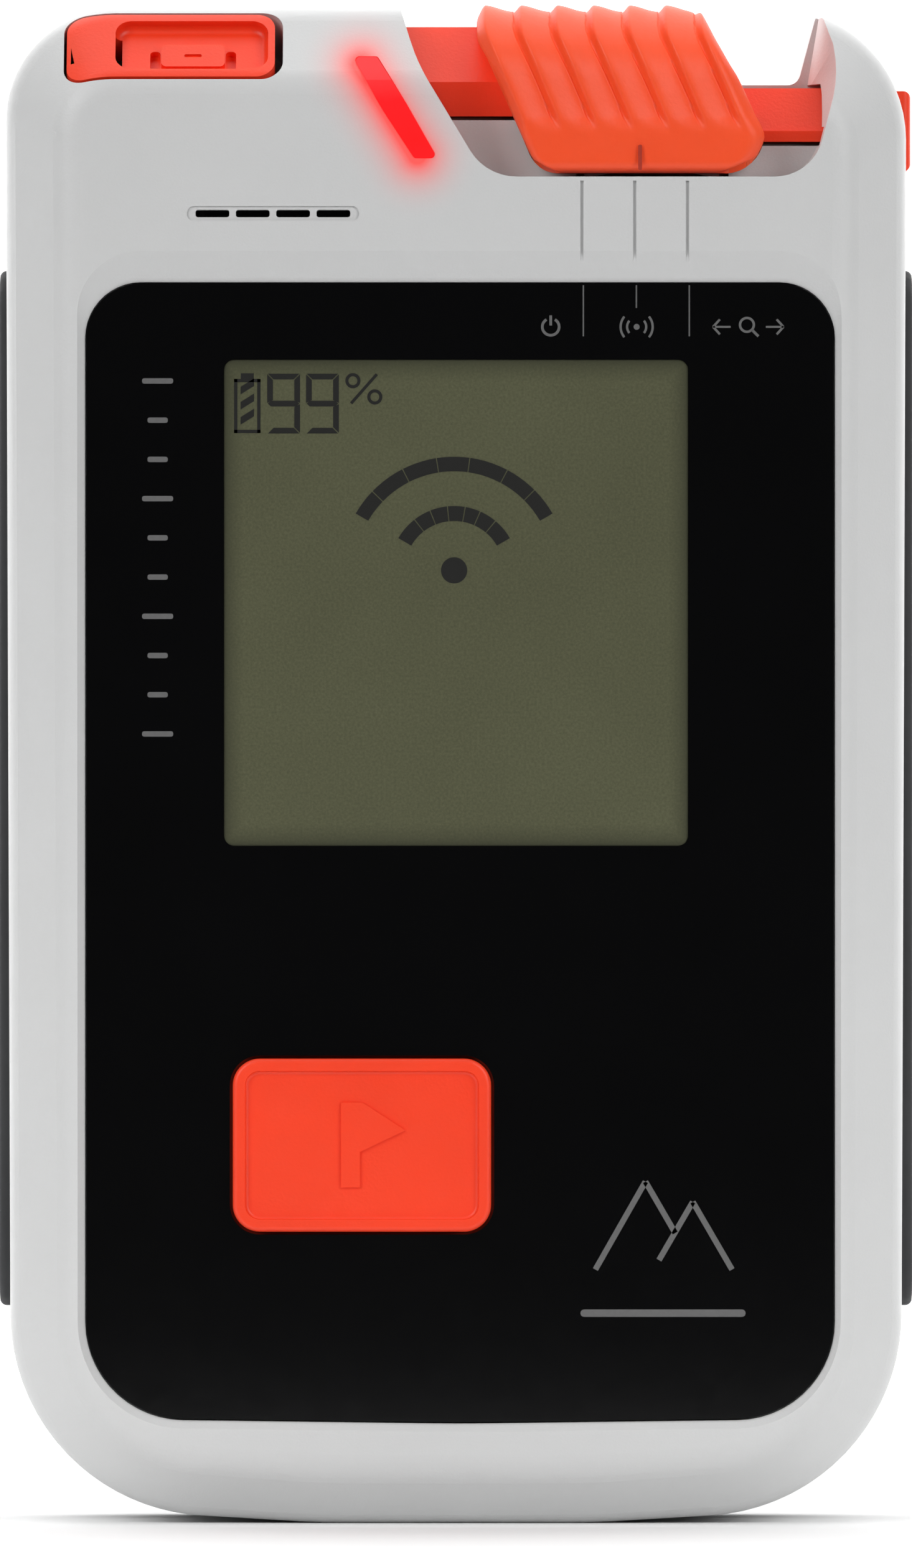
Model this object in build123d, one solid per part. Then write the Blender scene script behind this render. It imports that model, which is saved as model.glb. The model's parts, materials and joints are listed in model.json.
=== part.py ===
"""Avalanche transceiver with a sliding mode switch, in millimetres.

Frame: +Z up, the case stands on its bottom edge, the display faces -Y and +X is to the right
when the display is looked at. The origin is at the middle of the case's base.
"""
from build123d import *
import os
from math import atan2, cos, degrees, sin

# ---- case --------------------------------------------------------------------------------
CASE_W = 66.8            # width of the shell at the head
CASE_TAPER = 0.4         # how much each side draws in towards the base
CASE_H = 112.3
CASE_D = 25.0
HALF_W = CASE_W / 2
FRONT_Y = -CASE_D / 2
BACK_Y = CASE_D / 2
FOOT_HALF = 10.0         # half length of the flat that the case stands on
FOOT_RISE = 1.4          # how far the base line has risen at its outer corners
FOOT_BLEND_R = 60.0
BASE_R = 15.0
HEAD_LEFT_R = 8.3
HEAD_RIGHT_R = 9.7
WALL = 2.2
FRONT_WALL = 3.0
FLOOR_T = 3.2
HEAD_WALL = 1.6
REAR_WALL = 1.8
SHOULDER_D = 4.5         # depth over which the front face falls away to the sides
SHOULDER_TOP = 5.5
SHOULDER_BASE = 3.9
SHOULDER_SIDE = 4.4
PLATEAU_R = 2.8
SHOULDER_R = 2.6
REAR_R = 3.0
PART_Y = BACK_Y - 9.5    # parting plane between the front and the rear shell
HEAD_Z = CASE_H - 15.3   # above this height the front shell runs right through to the back
SHELL_GAP = 0.1
SEAL_INSET = 1.4
SEAL_W = 0.6
SEAL_T = 1.0
BORE_OVERRUN = 1.0       # how far a cutter runs past the face that it cuts

# ---- window, display and marker button ---------------------------------------------------
WINDOW_X = (6.1 - HALF_W, HALF_W - 5.5)
WINDOW_Z = (7.95, CASE_H - 20.5)
WINDOW_HEAD_R = 4.0
WINDOW_BASE_R = 7.2
WINDOW_T = 1.2
WINDOW_SINK = 0.45
WINDOW_SLOPE = 0.7
WINDOW_SLOPE_TOP = 1.7
WINDOW_LEDGE = 1.5
WINDOW_GAP = 0.1
LCD_W = 34.35
LCD_H = 36.0
LCD_X = (-LCD_W / 2, LCD_W / 2)
LCD_Z = (CASE_H - 26.1 - LCD_H, CASE_H - 26.1)
LCD_R = 0.8
LCD_SINK = 0.12
LCD_BORDER = 2.0
LCD_T = 1.5
STACK_GAP = 0.1
BACKLIGHT_T = 1.0
FRAME_T = 1.1
BOARD_T = 1.2
PANE_BACK_Y = FRONT_Y + WINDOW_SINK + WINDOW_T
LCD_BACK_Y = PANE_BACK_Y + STACK_GAP + LCD_T
LIGHT_BACK_Y = LCD_BACK_Y + STACK_GAP + BACKLIGHT_T
FRAME_FRONT_Y = LIGHT_BACK_Y + STACK_GAP
FRAME_BACK_Y = FRAME_FRONT_Y + FRAME_T
BOARD_Y = FRAME_BACK_Y + 0.95
BOARD_X = HALF_W - 9.6   # half width of the board
BOARD_Z = (8.5, CASE_H - 19.3)
BOARD_SCREW_R = 1.0
BOARD_SCREW_X = BOARD_X - 2.8
BOARD_SCREW_Z = (30.0, BOARD_Z[1] - 27.0)
FRAME_MARGIN = 2.6       # how far the frame runs past the display
FRAME_BASE_Z = 16.5
FOOT_Z = (FRAME_BASE_Z + 2.5, 46.0, LCD_Z[1] - 0.2)
BUTTON_X = (-16.5, 2.6)
BUTTON_Z = (21.7, 34.5)
BUTTON_R = 2.0
BUTTON_PROUD = 0.55
BUTTON_GAP = 0.22
BUTTON_TRAVEL = 0.6
BUTTON_RIM = 0.9
BUTTON_DISH = 0.4
FLANGE_T = 0.8
FLANGE_W = 1.2
STEM_R = 1.6
SWITCH_SIZE = 6.0
SWITCH_T = 1.2
STEM_END_Y = BOARD_Y - SWITCH_T - 0.1 - BUTTON_TRAVEL

# ---- mode switch -------------------------------------------------------------------------
SWITCH_X = HALF_W - 20.2         # the switch's middle position
SLIDE_TRAVEL = 3.9               # to each side of the middle position
NOTCH_FLOOR_Z = CASE_H - 12.6
NOTCH_BACK_Y = FRONT_Y + 10.0
NOTCH_STEP_Y = FRONT_Y + 3.3
NOTCH_BLEND_Y = FRONT_Y + 8.9
NOTCH_REST_Z = CASE_H - 5.5      # top of the housing behind the switch
SLIDE_GAP = 0.3
GRIP_X = (SWITCH_X - 7.15, SWITCH_X + 9.0)       # the grip's corners at its base
GRIP_LEFT_X = GRIP_X[0] - 4.51   # the grip's left edge at the top
NOTCH_X = (GRIP_X[0] - SLIDE_TRAVEL + 0.05, GRIP_X[1] + SLIDE_TRAVEL + 0.25)
REST_FRONT_Y = FRONT_Y + 4.2     # front of the ledges that the tongues run over
REST_LEFT_X = GRIP_X[0] - 0.65
REST_RIGHT_X = GRIP_X[1] - 2.0
GRIP_BASE_Z = NOTCH_FLOOR_Z + SLIDE_GAP
GRIP_TOP_Z = CASE_H + 0.25
GRIP_FRONT_Y = FRONT_Y - 0.4
GRIP_BACK_Y = BACK_Y - 3.0
GRIP_SKIRT_T = 3.5
GRIP_CREST_R = 5.5
RIB_COUNT = 7
RIB_PITCH = 2.64
RIB_CUT_R = 0.9
RIB_DEPTH = 0.45
RIB_END_Z = CASE_H - 9.1
RIB_FIRST_X = GRIP_LEFT_X + 1.36
RIB_SLANT = (4.5, 10.7)          # how far the ribs lean, across and up
TONGUE_BACK_Y = NOTCH_BACK_Y - 0.5
TONGUE_FRONT_Y = FRONT_Y + 3.9
TONGUE_LOW_Z = CASE_H - 9.9
LEFT_TONGUE_Z = TONGUE_LOW_Z + 1.9
TONGUE_LEFT_END = SWITCH_X - 21.6
TONGUE_RIGHT_END = SWITCH_X + 14.2
CORE_X = (GRIP_X[0] - 1.05, GRIP_X[1] - 3.6)
GRIP_BEHIND_X = GRIP_X[1] - 1.2  # where the grip ends behind its skirt
MAGNET_R = 1.5
MAGNET_L = 3.0
MAGNET_X = SWITCH_X + 3.4
DETENT_X = SWITCH_X + 1.3
DETENT_R = 0.9                   # half width of a click groove
DETENT_DEPTH = 0.7
DETENT_T = 0.35
DETENT_HALF = 5.0                # half length of the spring
INDEX_X = (SWITCH_X - SLIDE_TRAVEL, SWITCH_X, SWITCH_X + SLIDE_TRAVEL)
INDEX_W = 0.25
INDEX_Z = (CASE_H - 18.9, CASE_H - 12.9)
GRIP_MARK_X = SWITCH_X + 0.4
GRIP_MARK_W = 0.3
GRIP_MARK_H = 2.0

# ---- lock lever on the left shoulder -----------------------------------------------------
LOCK_L = 15.4
LOCK_X = (4.6 - HALF_W, 4.6 - HALF_W + LOCK_L)
LOCK_V = (0.45, 6.55)    # across the sloped shoulder, measured from its lower edge
LOCK_GAP = 0.22
LOCK_END_GAP = 0.6
LOCK_R = 1.4
LOCK_T = 3.3
LOCK_POCKET_T = LOCK_T + 1.5
LOCK_PIN_X = LOCK_X[0] + 2.2
LOCK_PIN_W = 1.1 - LOCK_T
LOCK_PIN_R = 0.8
RUN_FIT = 0.05
LOCK_SCOOP_X = (LOCK_PIN_X + 1.4, LOCK_X[1] - 0.5)
LOCK_SCOOP_T = 1.0
LOCK_BAR_X = (LOCK_PIN_X + 4.8, LOCK_X[1] - 3.7)
LOCK_BAR_V = (1.7, 3.8)

# ---- light, loudspeaker ------------------------------------------------------------------
LIGHT_TOP_Z = CASE_H - 3.7
LIGHT_BASE_Z = CASE_H - 11.2
LIGHT_X = (SWITCH_X - 20.8, SWITCH_X - 16.25)    # left edge at the top and at the base
LIGHT_W = 1.75
LED_R = 1.0
LED_H = 1.0
LIGHT_T = 2.4
LIGHT_GAP = 0.05
LED_GAP = 0.1
SLOT_COUNT = 4
SLOT_W = 2.5
SLOT_H = 0.55
SLOT_PITCH = 2.98
SLOT_MID = (19.87 - HALF_W, HEAD_Z - 0.03)
SPEAKER_R = 5.5
SPEAKER_T = 2.8
SPEAKER_DROP = 0.5       # the capsule sits a little below the slots
SPEAKER_Y = FRONT_Y + FRONT_WALL

# ---- batteries and their cover -----------------------------------------------------------
CELL_R = 5.25
CELL_L = 44.5
CELL_PITCH = 2 * CELL_R + 0.7
CELL_COUNT = 3
CELL_BASE_Z = 16.2
CELL_Y = BACK_Y - CELL_R - 2.15
BAY_END_GAP = 2.2
BAY_SIDE_GAP = 0.75
BAY_WALL = 1.4
CONTACT_T = 0.4
SPRING_WIRE_R = 0.32
BAY_HALF = CELL_PITCH * (CELL_COUNT - 1) / 2 + CELL_R + BAY_SIDE_GAP
BAY_X = (-BAY_HALF, BAY_HALF)
BAY_Z = (CELL_BASE_Z - BAY_END_GAP, CELL_BASE_Z + CELL_L + BAY_END_GAP)
COVER_HALF = BAY_HALF + 2.8
COVER_BASE_Z = 4.0
COVER_T = 1.7
COVER_GAP = 0.25
COVER_SEAL_T = 0.25
COVER_IN_Y = BACK_Y - COVER_T
LEDGE_Y = COVER_IN_Y - COVER_SEAL_T - 0.05
COVER_RIB_COUNT = 5
COVER_RIB_Z = 30.0
HINGE_CLEAR = 0.35
HINGE_R = 1.55
HINGE_Y = BACK_Y - HINGE_R - 0.05
HINGE_Z = BAY_Z[1] + HINGE_R + 2.05
HINGE_ROOM = HINGE_R + 0.65
BLOCK_TOP_Z = HINGE_Z + HINGE_ROOM + 2.0
HINGE_PIN_R = 0.8
HINGE_HALF = 12.0
EAR_T = 3.0
LEDGE_T = 1.5
COIN_Z = 8.6
COIN_HEAD_R = 3.6
COIN_HEAD_T = 0.75
COIN_SHANK_R = 2.0
COIN_BOSS_R = 3.6
COIN_REACH = 2.6

# ---- screws, antennas, side grips, leash eyelet ------------------------------------------
SCREW_X = HALF_W - 6.0
SCREW_Z = (11.2, CASE_H - 21.7)
SCREW_BOSS_R = 2.8
SCREW_R = 1.2
SCREW_HEAD_R = 2.2
SCREW_HEAD_T = 1.5
ROD_R = 2.6
COIL_T = 0.6
SIDE_GRIP_Z = (16.0, CASE_H - 19.3)
SIDE_GRIP_Y = (FRONT_Y + 6.9, PART_Y)
SIDE_GRIP_T = 1.2
SIDE_GRIP_PROUD = 0.5
SIDE_GRIP_R = 3.5
EYELET_Y = (BACK_Y - 8.1, BACK_Y - 1.5)
EYELET_Z = (CASE_H - 11.7, CASE_H - 5.7)
EYELET_T = 3.2
EYELET_PROUD = 0.55
EYELET_BORE_R = 1.9
LEASH_POCKET_X = HALF_W - 7.9
MOTOR_R = 2.6


# ---- helpers -----------------------------------------------------------------------------
def box(x, y, z):
    """A box from its low and high limits along each axis."""
    size = (x[1] - x[0], y[1] - y[0], z[1] - z[0])
    mid = ((x[0] + x[1]) / 2, (y[0] + y[1]) / 2, (z[0] + z[1]) / 2)
    return Pos(*mid) * Box(*size)


def plate(face, y):
    """A face drawn in X and Z, thickened from y[0] to y[1]."""
    return extrude(Plane.XZ.offset(-y[1]) * face, amount=y[1] - y[0])


def bar(face, x):
    """A face drawn in Y and Z, thickened from x[0] to x[1]."""
    return extrude(Plane.YZ.offset(x[0]) * face, amount=x[1] - x[0])


def rod_x(r, x, y, z):
    """A round bar along X."""
    return Pos((x[0] + x[1]) / 2, y, z) * Rot(0, 90, 0) * Cylinder(r, x[1] - x[0])


def rod_y(r, x, y, z):
    """A round bar along Y."""
    return Pos(x, (y[0] + y[1]) / 2, z) * Rot(90, 0, 0) * Cylinder(r, y[1] - y[0])


def rod_z(r, x, y, z):
    """A round bar along Z."""
    return Pos(x, y, (z[0] + z[1]) / 2) * Cylinder(r, z[1] - z[0])


def rounded(points, radii):
    """A closed outline through the points, each corner rounded by its own radius."""
    return make_face(FilletPolyline(*points, radius=radii, close=True))


def rectangle(x, z, r, grow=0.0):
    """A rounded rectangle from its limits, grown all round."""
    size = (x[1] - x[0] + 2 * grow, z[1] - z[0] + 2 * grow)
    return Pos((x[0] + x[1]) / 2, (z[0] + z[1]) / 2) * RectangleRounded(*size, max(r + grow, 0.1))


def group(solids):
    """Separate solids that share one node."""
    return Compound(children=list(solids))


# ---- case shapes -------------------------------------------------------------------------
def case_outline(side=0.0, top=0.0, base=0.0):
    """The case seen from the front, drawn in by the given amounts."""
    half = CASE_W / 2 - side
    foot = half - CASE_TAPER
    points = [(-FOOT_HALF, base), (FOOT_HALF, base), (foot, base + FOOT_RISE),
              (half, CASE_H - top), (-half, CASE_H - top), (-foot, base + FOOT_RISE)]
    radii = [FOOT_BLEND_R, FOOT_BLEND_R, BASE_R - side, HEAD_RIGHT_R - side, HEAD_LEFT_R - side,
             BASE_R - side]
    return rounded(points, radii)


def case_body():
    """The outer shape of both shells together."""
    base_y = FRONT_Y + SHOULDER_D
    body = plate(case_outline(), (base_y, BACK_Y))
    rim = Plane.XZ.offset(-base_y) * case_outline()
    plateau = Plane.XZ.offset(-FRONT_Y) * case_outline(SHOULDER_SIDE, SHOULDER_TOP, SHOULDER_BASE)
    body += loft([rim, plateau], ruled=True)
    body = fillet(body.faces().sort_by(Axis.Y)[-1].edges(), REAR_R)
    front = body.faces().sort_by(Axis.Y)[0]
    body = fillet(front.edges(), PLATEAU_R)
    shoulder = [e for e in body.edges() if abs(e.center().Y - base_y) < 0.01 and e.length > 0.2]
    return fillet(shoulder, SHOULDER_R)


def window_outline(grow=0.0, top=0.0):
    """The display window seen from the front."""
    left, right = WINDOW_X[0] - grow, WINDOW_X[1] + grow
    low, high = WINDOW_Z[0] - grow, WINDOW_Z[1] + grow + top
    mid = (left + right) / 2
    points = [(left, low), (mid, low - 0.35), (right, low), (right, high), (left, high)]
    radii = [WINDOW_BASE_R + grow, 200.0, WINDOW_BASE_R + grow, WINDOW_HEAD_R + grow,
             WINDOW_HEAD_R + grow]
    return rounded(points, radii)


def notch_cut():
    """Everything that the case leaves open around the mode switch."""
    rise, floor = CASE_H + 2.0, NOTCH_FLOOR_Z
    x, end = NOTCH_X
    left = [(x - 6.9, rise), (x - 5.1, CASE_H - 4.1), (x, floor)]
    front = rounded(left + [(end, floor), (end + 2.0, floor + 7.7), (end + 0.65, rise)],
                    [0.0, 15.0, 4.0, 3.6, 9.0, 0.0])
    middle = rounded(left + [(end - 1.05, floor), (end - 0.35, floor + 6.3), (end + 1.05, rise)],
                     [0.0, 15.0, 4.0, 3.0, 6.0, 0.0])
    rear = rounded(left[:2] + [(x - 4.3, NOTCH_REST_Z), (end - 0.95, NOTCH_REST_Z), (end + 1.05, rise)],
                   [0.0, 2.0, 0.4, 1.0, 0.0])
    blend = loft([Plane.XZ.offset(-NOTCH_STEP_Y) * front, Plane.XZ.offset(-NOTCH_BLEND_Y) * middle],
                 ruled=True)
    cut = plate(front, (FRONT_Y - BORE_OVERRUN, NOTCH_STEP_Y)) + blend
    cut += plate(middle, (NOTCH_BLEND_Y, NOTCH_BACK_Y))
    cut += plate(rear, (NOTCH_BACK_Y, BACK_Y + BORE_OVERRUN))
    deep = (REST_FRONT_Y, NOTCH_BACK_Y)
    cut -= box((-HALF_W, REST_LEFT_X), deep, (floor - 1, LEFT_TONGUE_Z - SLIDE_GAP))
    cut -= box((-HALF_W, DETENT_X - DETENT_HALF - 0.6), deep, (floor - 1, TONGUE_LOW_Z - SLIDE_GAP))
    return cut - box((REST_RIGHT_X, HALF_W), deep, (floor - 1, TONGUE_LOW_Z - SLIDE_GAP))


def left_tongue(grow=0.0):
    """Section of the switch's left tongue."""
    low, high = LEFT_TONGUE_Z - grow, CASE_H - 1.25 + grow
    front, back = TONGUE_FRONT_Y + 0.6 - grow, TONGUE_BACK_Y + grow
    return make_face(Polyline((front, low), (back, low), (back, high), (front + 3.3, high),
                              (front, high - 4.2 - grow * 0.6), close=True))


def right_tongue(grow=0.0):
    """Section of the switch's right tongue."""
    low, high = TONGUE_LOW_Z - grow, TONGUE_LOW_Z + 4.05 + grow
    front, back = TONGUE_FRONT_Y - grow, TONGUE_BACK_Y + grow
    return make_face(Polyline((front, low), (back, low), (back, high), (front + 2.6, high),
                              (front + 0.5, high - 3.25), (front, high - 3.25), close=True))


SHOULDER_SLOPE = atan2(SHOULDER_TOP, SHOULDER_D)
SHOULDER = Plane(origin=(0, FRONT_Y, CASE_H - SHOULDER_TOP), x_dir=(1, 0, 0),
                 z_dir=(0, -sin(SHOULDER_SLOPE), cos(SHOULDER_SLOPE)))


def shoulder_block(x, v, w, r=0.0):
    """A block that stands square to the sloped shoulder."""
    mid = ((x[0] + x[1]) / 2, (v[0] + v[1]) / 2)
    size = (x[1] - x[0], v[1] - v[0])
    face = RectangleRounded(*size, r) if r else Rectangle(*size)
    return extrude(SHOULDER.offset(w[0]) * Pos(*mid) * face, amount=w[1] - w[0])


def shoulder_rod(r, v):
    """A round bar across the shoulder, at the lock lever's pin."""
    place = Pos(LOCK_PIN_X, (v[0] + v[1]) / 2, LOCK_PIN_W) * Rot(90, 0, 0)
    return SHOULDER.location * place * Cylinder(r, v[1] - v[0])


def lock_pocket():
    """The opening that the lock lever swings in."""
    x = (LOCK_X[0] - LOCK_GAP, LOCK_X[1] + LOCK_END_GAP)
    v = (LOCK_V[0] - LOCK_GAP, LOCK_V[1] + LOCK_GAP)
    return shoulder_block(x, v, (-LOCK_POCKET_T, 4.0), LOCK_R + LOCK_GAP)


def light_middle():
    """The middle of the light strip's left edge, in X and Z."""
    return (LIGHT_X[0] + LIGHT_X[1]) / 2, (LIGHT_TOP_Z + LIGHT_BASE_Z) / 2


def light_outline(grow=0.0):
    """The slanted light strip, seen from the front."""
    top, low = LIGHT_TOP_Z + grow, LIGHT_BASE_Z - grow
    mid_x, mid_z = light_middle()
    right = LIGHT_W + grow
    points = [(LIGHT_X[0] - grow, top), (mid_x - 0.2 - grow, mid_z), (LIGHT_X[1] - grow, low),
              (LIGHT_X[1] - 0.1 + right, low), (mid_x - 0.1 + right, mid_z + 0.2),
              (LIGHT_X[0] + right, top)]
    return rounded(points, [0.3, 20.0, 0.3, 0.3, 20.0, 0.3])


def screw_places():
    """Where the case screws stand."""
    return [(x, z) for z in SCREW_Z for x in (-SCREW_X, SCREW_X)]


def side_grip_block(side):
    """The pad let into one side of the case."""
    x = sorted((side * (HALF_W - SIDE_GRIP_T), side * (HALF_W + SIDE_GRIP_PROUD)))
    points = [(SIDE_GRIP_Y[0], SIDE_GRIP_Z[0]), (SIDE_GRIP_Y[1], SIDE_GRIP_Z[0]),
              (SIDE_GRIP_Y[1], SIDE_GRIP_Z[1]), (SIDE_GRIP_Y[0], SIDE_GRIP_Z[1])]
    pad = bar(rounded(points, [SIDE_GRIP_R, 0.0, 0.0, SIDE_GRIP_R]), x)
    outer = pad.faces().sort_by(Axis.X)[-1 if side > 0 else 0]
    return fillet(outer.edges(), SIDE_GRIP_PROUD)


def eyelet_block():
    """The outside of the leash eyelet's insert."""
    block = box((HALF_W - EYELET_T, HALF_W + EYELET_PROUD), EYELET_Y, EYELET_Z)
    outer = block.faces().sort_by(Axis.X)[-1]
    return fillet(outer.edges(), EYELET_PROUD)


# ---- shells ------------------------------------------------------------------------------
def front_housing(body):
    """The white shell: front, sides and the whole head, hollow behind."""
    shell = body - box((-CASE_W, CASE_W), (PART_Y, CASE_D), (-1, HEAD_Z))
    inner = offset(case_outline(), -WALL)
    hollow = plate(inner, (FRONT_Y + FRONT_WALL, CASE_D))
    low_room = box((-CASE_W, CASE_W), (-CASE_D, CASE_D), (FLOOR_T, NOTCH_FLOOR_Z - 1.7))
    low_room -= box((-CASE_W, CASE_W), (PART_Y - 3.0, CASE_D), (HEAD_Z - 2.4, HEAD_Z + 0.3))
    low_room -= box((-CASE_W, CASE_W), (BACK_Y - REAR_WALL, CASE_D), (HEAD_Z, CASE_H))
    head_room = box((-CASE_W, LEASH_POCKET_X - 2.5), (NOTCH_BACK_Y + HEAD_WALL, BACK_Y - REAR_WALL),
                    (HEAD_Z - 0.5, NOTCH_REST_Z - HEAD_WALL))
    head_room -= box((-CASE_W, CASE_W), (PART_Y - 3.0, CASE_D), (HEAD_Z - 1.0, HEAD_Z + 0.3))
    shell -= hollow & low_room
    shell -= hollow & head_room
    shell -= rod_y(SPEAKER_R + 0.3, SLOT_MID[0], (SPEAKER_Y, SPEAKER_Y + 7.5), SLOT_MID[1] - SPEAKER_DROP)
    for x, z in screw_places():
        boss = rod_y(SCREW_BOSS_R, x, (FRONT_Y + FRONT_WALL - 0.5, PART_Y), z)
        shell += boss & body
        shell -= rod_y(SCREW_R, x, (PART_Y - 8.0, PART_Y + 1), z)
    shell -= housing_seal()
    shell -= window_cut()
    shell -= notch_cut()
    reach = SLIDE_TRAVEL + SLIDE_GAP
    shell -= bar(left_tongue(SLIDE_GAP), (TONGUE_LEFT_END - reach, NOTCH_X[0] - 1.2))
    shell -= bar(right_tongue(SLIDE_GAP), (NOTCH_X[1] - 2.35, TONGUE_RIGHT_END + reach))
    shell -= lock_pocket()
    shell -= shoulder_rod(LOCK_PIN_R, (LOCK_V[0] - 1.2, LOCK_V[1] + 1.2))
    shell -= plate(light_outline(LIGHT_GAP), (FRONT_Y - 1, FRONT_Y + LIGHT_T))
    shell -= status_led(LED_GAP)
    shell -= speaker_slots()
    shell -= index_grooves()
    for side in (-1, 1):
        shell -= side_grip_block(side)
    shell -= eyelet_block()
    shell -= box((LEASH_POCKET_X, HALF_W - EYELET_T), (EYELET_Y[0], CASE_D), EYELET_Z)
    return shell


def window_cut():
    """The sloped surround, the seat and the opening behind the window."""
    seat_y = FRONT_Y + WINDOW_SINK
    rim = Plane.XZ.offset(-FRONT_Y) * window_outline(WINDOW_SLOPE, WINDOW_SLOPE_TOP)
    slope = loft([rim, Plane.XZ.offset(-seat_y - 0.15) * window_outline(WINDOW_GAP)], ruled=True)
    seat = plate(window_outline(WINDOW_GAP), (FRONT_Y, seat_y + WINDOW_T))
    through = plate(window_outline(-WINDOW_LEDGE), (seat_y, FRONT_Y + FRONT_WALL + 1.0))
    return slope + seat + through


def speaker_slots():
    """Four short slots in a shallow groove."""
    groove_half = (SLOT_COUNT * SLOT_PITCH) / 2 + 0.4
    groove = rectangle((SLOT_MID[0] - groove_half, SLOT_MID[0] + groove_half),
                       (SLOT_MID[1] - SLOT_H, SLOT_MID[1] + SLOT_H), SLOT_H * 0.95)
    cuts = plate(groove, (FRONT_Y - 1, FRONT_Y + 0.15))
    for i in range(SLOT_COUNT):
        x = SLOT_MID[0] + (i - (SLOT_COUNT - 1) / 2) * SLOT_PITCH
        slot = Pos(x, SLOT_MID[1]) * RectangleRounded(SLOT_W, SLOT_H, SLOT_H * 0.35)
        cuts += plate(slot, (FRONT_Y - 1, FRONT_Y + FRONT_WALL + 0.5))
    return cuts


def index_grooves():
    """Three thin grooves that mark the switch positions."""
    cuts = box((INDEX_X[0] - INDEX_W / 2, INDEX_X[0] + INDEX_W / 2), (FRONT_Y - 1, FRONT_Y + 0.2), INDEX_Z)
    for x in INDEX_X[1:]:
        cuts += box((x - INDEX_W / 2, x + INDEX_W / 2), (FRONT_Y - 1, FRONT_Y + 0.2), INDEX_Z)
    return cuts


def rear_housing(body):
    """The dark rear shell with its battery bay and the seat of the battery cover."""
    shell = body & box((-CASE_W, CASE_W), (PART_Y, CASE_D), (-1, HEAD_Z - SHELL_GAP))
    inner = offset(case_outline(), -WALL) & (Pos(0, HEAD_Z / 2) * Rectangle(CASE_W, HEAD_Z - 2 * WALL))
    shell -= plate(inner, (PART_Y - 1, BACK_Y - REAR_WALL))
    tray_x = (-BAY_HALF - BAY_WALL, BAY_HALF + BAY_WALL)
    tray_z = (BAY_Z[0] - BAY_WALL, BAY_Z[1] + BAY_WALL)
    bay_floor = CELL_Y - CELL_R - 0.1
    ledge = plate(rectangle((-COVER_HALF - 1.8, COVER_HALF + 1.8), (2.4, BLOCK_TOP_Z), 1.0),
                  (LEDGE_Y - LEDGE_T, BACK_Y - 0.5))
    shell += ledge & body
    shell += box(tray_x, (bay_floor - BAY_WALL, BACK_Y - 1.0), tray_z)
    shell += box((-HINGE_HALF - EAR_T - 2, HINGE_HALF + EAR_T + 2), (LEDGE_Y - LEDGE_T - 2.6, LEDGE_Y),
                 (tray_z[1] - 1.0, BLOCK_TOP_Z))
    shell += rod_y(COIN_BOSS_R, 0, (LEDGE_Y - 6.0, LEDGE_Y), COIN_Z)
    for x, z in screw_places():
        shell += rod_y(SCREW_BOSS_R, x, (PART_Y, BACK_Y - 1.0), z)
    cover = rectangle((-COVER_HALF, COVER_HALF), (COVER_BASE_Z, HINGE_Z + HINGE_ROOM), 2.5, COVER_GAP)
    shell -= plate(cover, (LEDGE_Y, CASE_D))
    shell -= box((-HINGE_HALF - EAR_T - 1, HINGE_HALF + EAR_T + 1),
                 (HINGE_Y - HINGE_R - HINGE_CLEAR, CASE_D),
                 (HINGE_Z - HINGE_ROOM + 0.2, HINGE_Z + HINGE_ROOM))
    shell -= box(BAY_X, (bay_floor, CASE_D), BAY_Z)
    for side in (-1, 1):
        x = sorted((side * (HINGE_HALF + 0.3), side * (HINGE_HALF + EAR_T + 1)))
        shell += box(x, (HINGE_Y - HINGE_R - HINGE_CLEAR - 0.05, HINGE_Y),
                     (HINGE_Z - HINGE_R, HINGE_Z + HINGE_R))
        shell += rod_x(HINGE_R, x, HINGE_Y, HINGE_Z)
    shell -= rod_x(HINGE_PIN_R, (-HINGE_HALF - EAR_T, HINGE_HALF + EAR_T), HINGE_Y, HINGE_Z)
    shell -= rod_y(COIN_SHANK_R + 0.4, 0, (LEDGE_Y - 5.0, CASE_D), COIN_Z)
    for x, z in screw_places():
        shell -= rod_y(SCREW_R, x, (0, CASE_D), z)
        shell -= rod_y(SCREW_HEAD_R + 0.15, x, (BACK_Y - 2.4, CASE_D), z)
    return shell - housing_seal()


def housing_seal():
    """Gasket between the two shells, half in each."""
    lid = Pos(0, (HEAD_Z - SHELL_GAP) / 2) * Rectangle(CASE_W, HEAD_Z - SHELL_GAP)
    outline = case_outline() & lid
    ring = offset(outline, -SEAL_INSET) - offset(outline, -SEAL_INSET - SEAL_W)
    return plate(ring, (PART_Y - SEAL_T / 2, PART_Y + SEAL_T / 2))


# ---- display stack -----------------------------------------------------------------------
def display_window():
    """Glossy black window pane with the display opening and the button opening."""
    y = (FRONT_Y + WINDOW_SINK, FRONT_Y + WINDOW_SINK + WINDOW_T)
    pane = plate(window_outline(), y)
    pane -= plate(rectangle(LCD_X, LCD_Z, LCD_R), (y[0] - 1, y[1] + 1))
    pane -= plate(rectangle(BUTTON_X, BUTTON_Z, BUTTON_R, BUTTON_GAP), (y[0] - 1, y[1] + 1))
    return pane


def lcd_glass():
    """Display glass, stepped up into the opening of the pane."""
    glass = plate(rectangle(LCD_X, LCD_Z, LCD_R, LCD_BORDER), (PANE_BACK_Y + STACK_GAP, LCD_BACK_Y))
    step = rectangle(LCD_X, LCD_Z, LCD_R, -0.03)
    return glass + plate(step, (FRONT_Y + WINDOW_SINK + LCD_SINK, LCD_BACK_Y))


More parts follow.
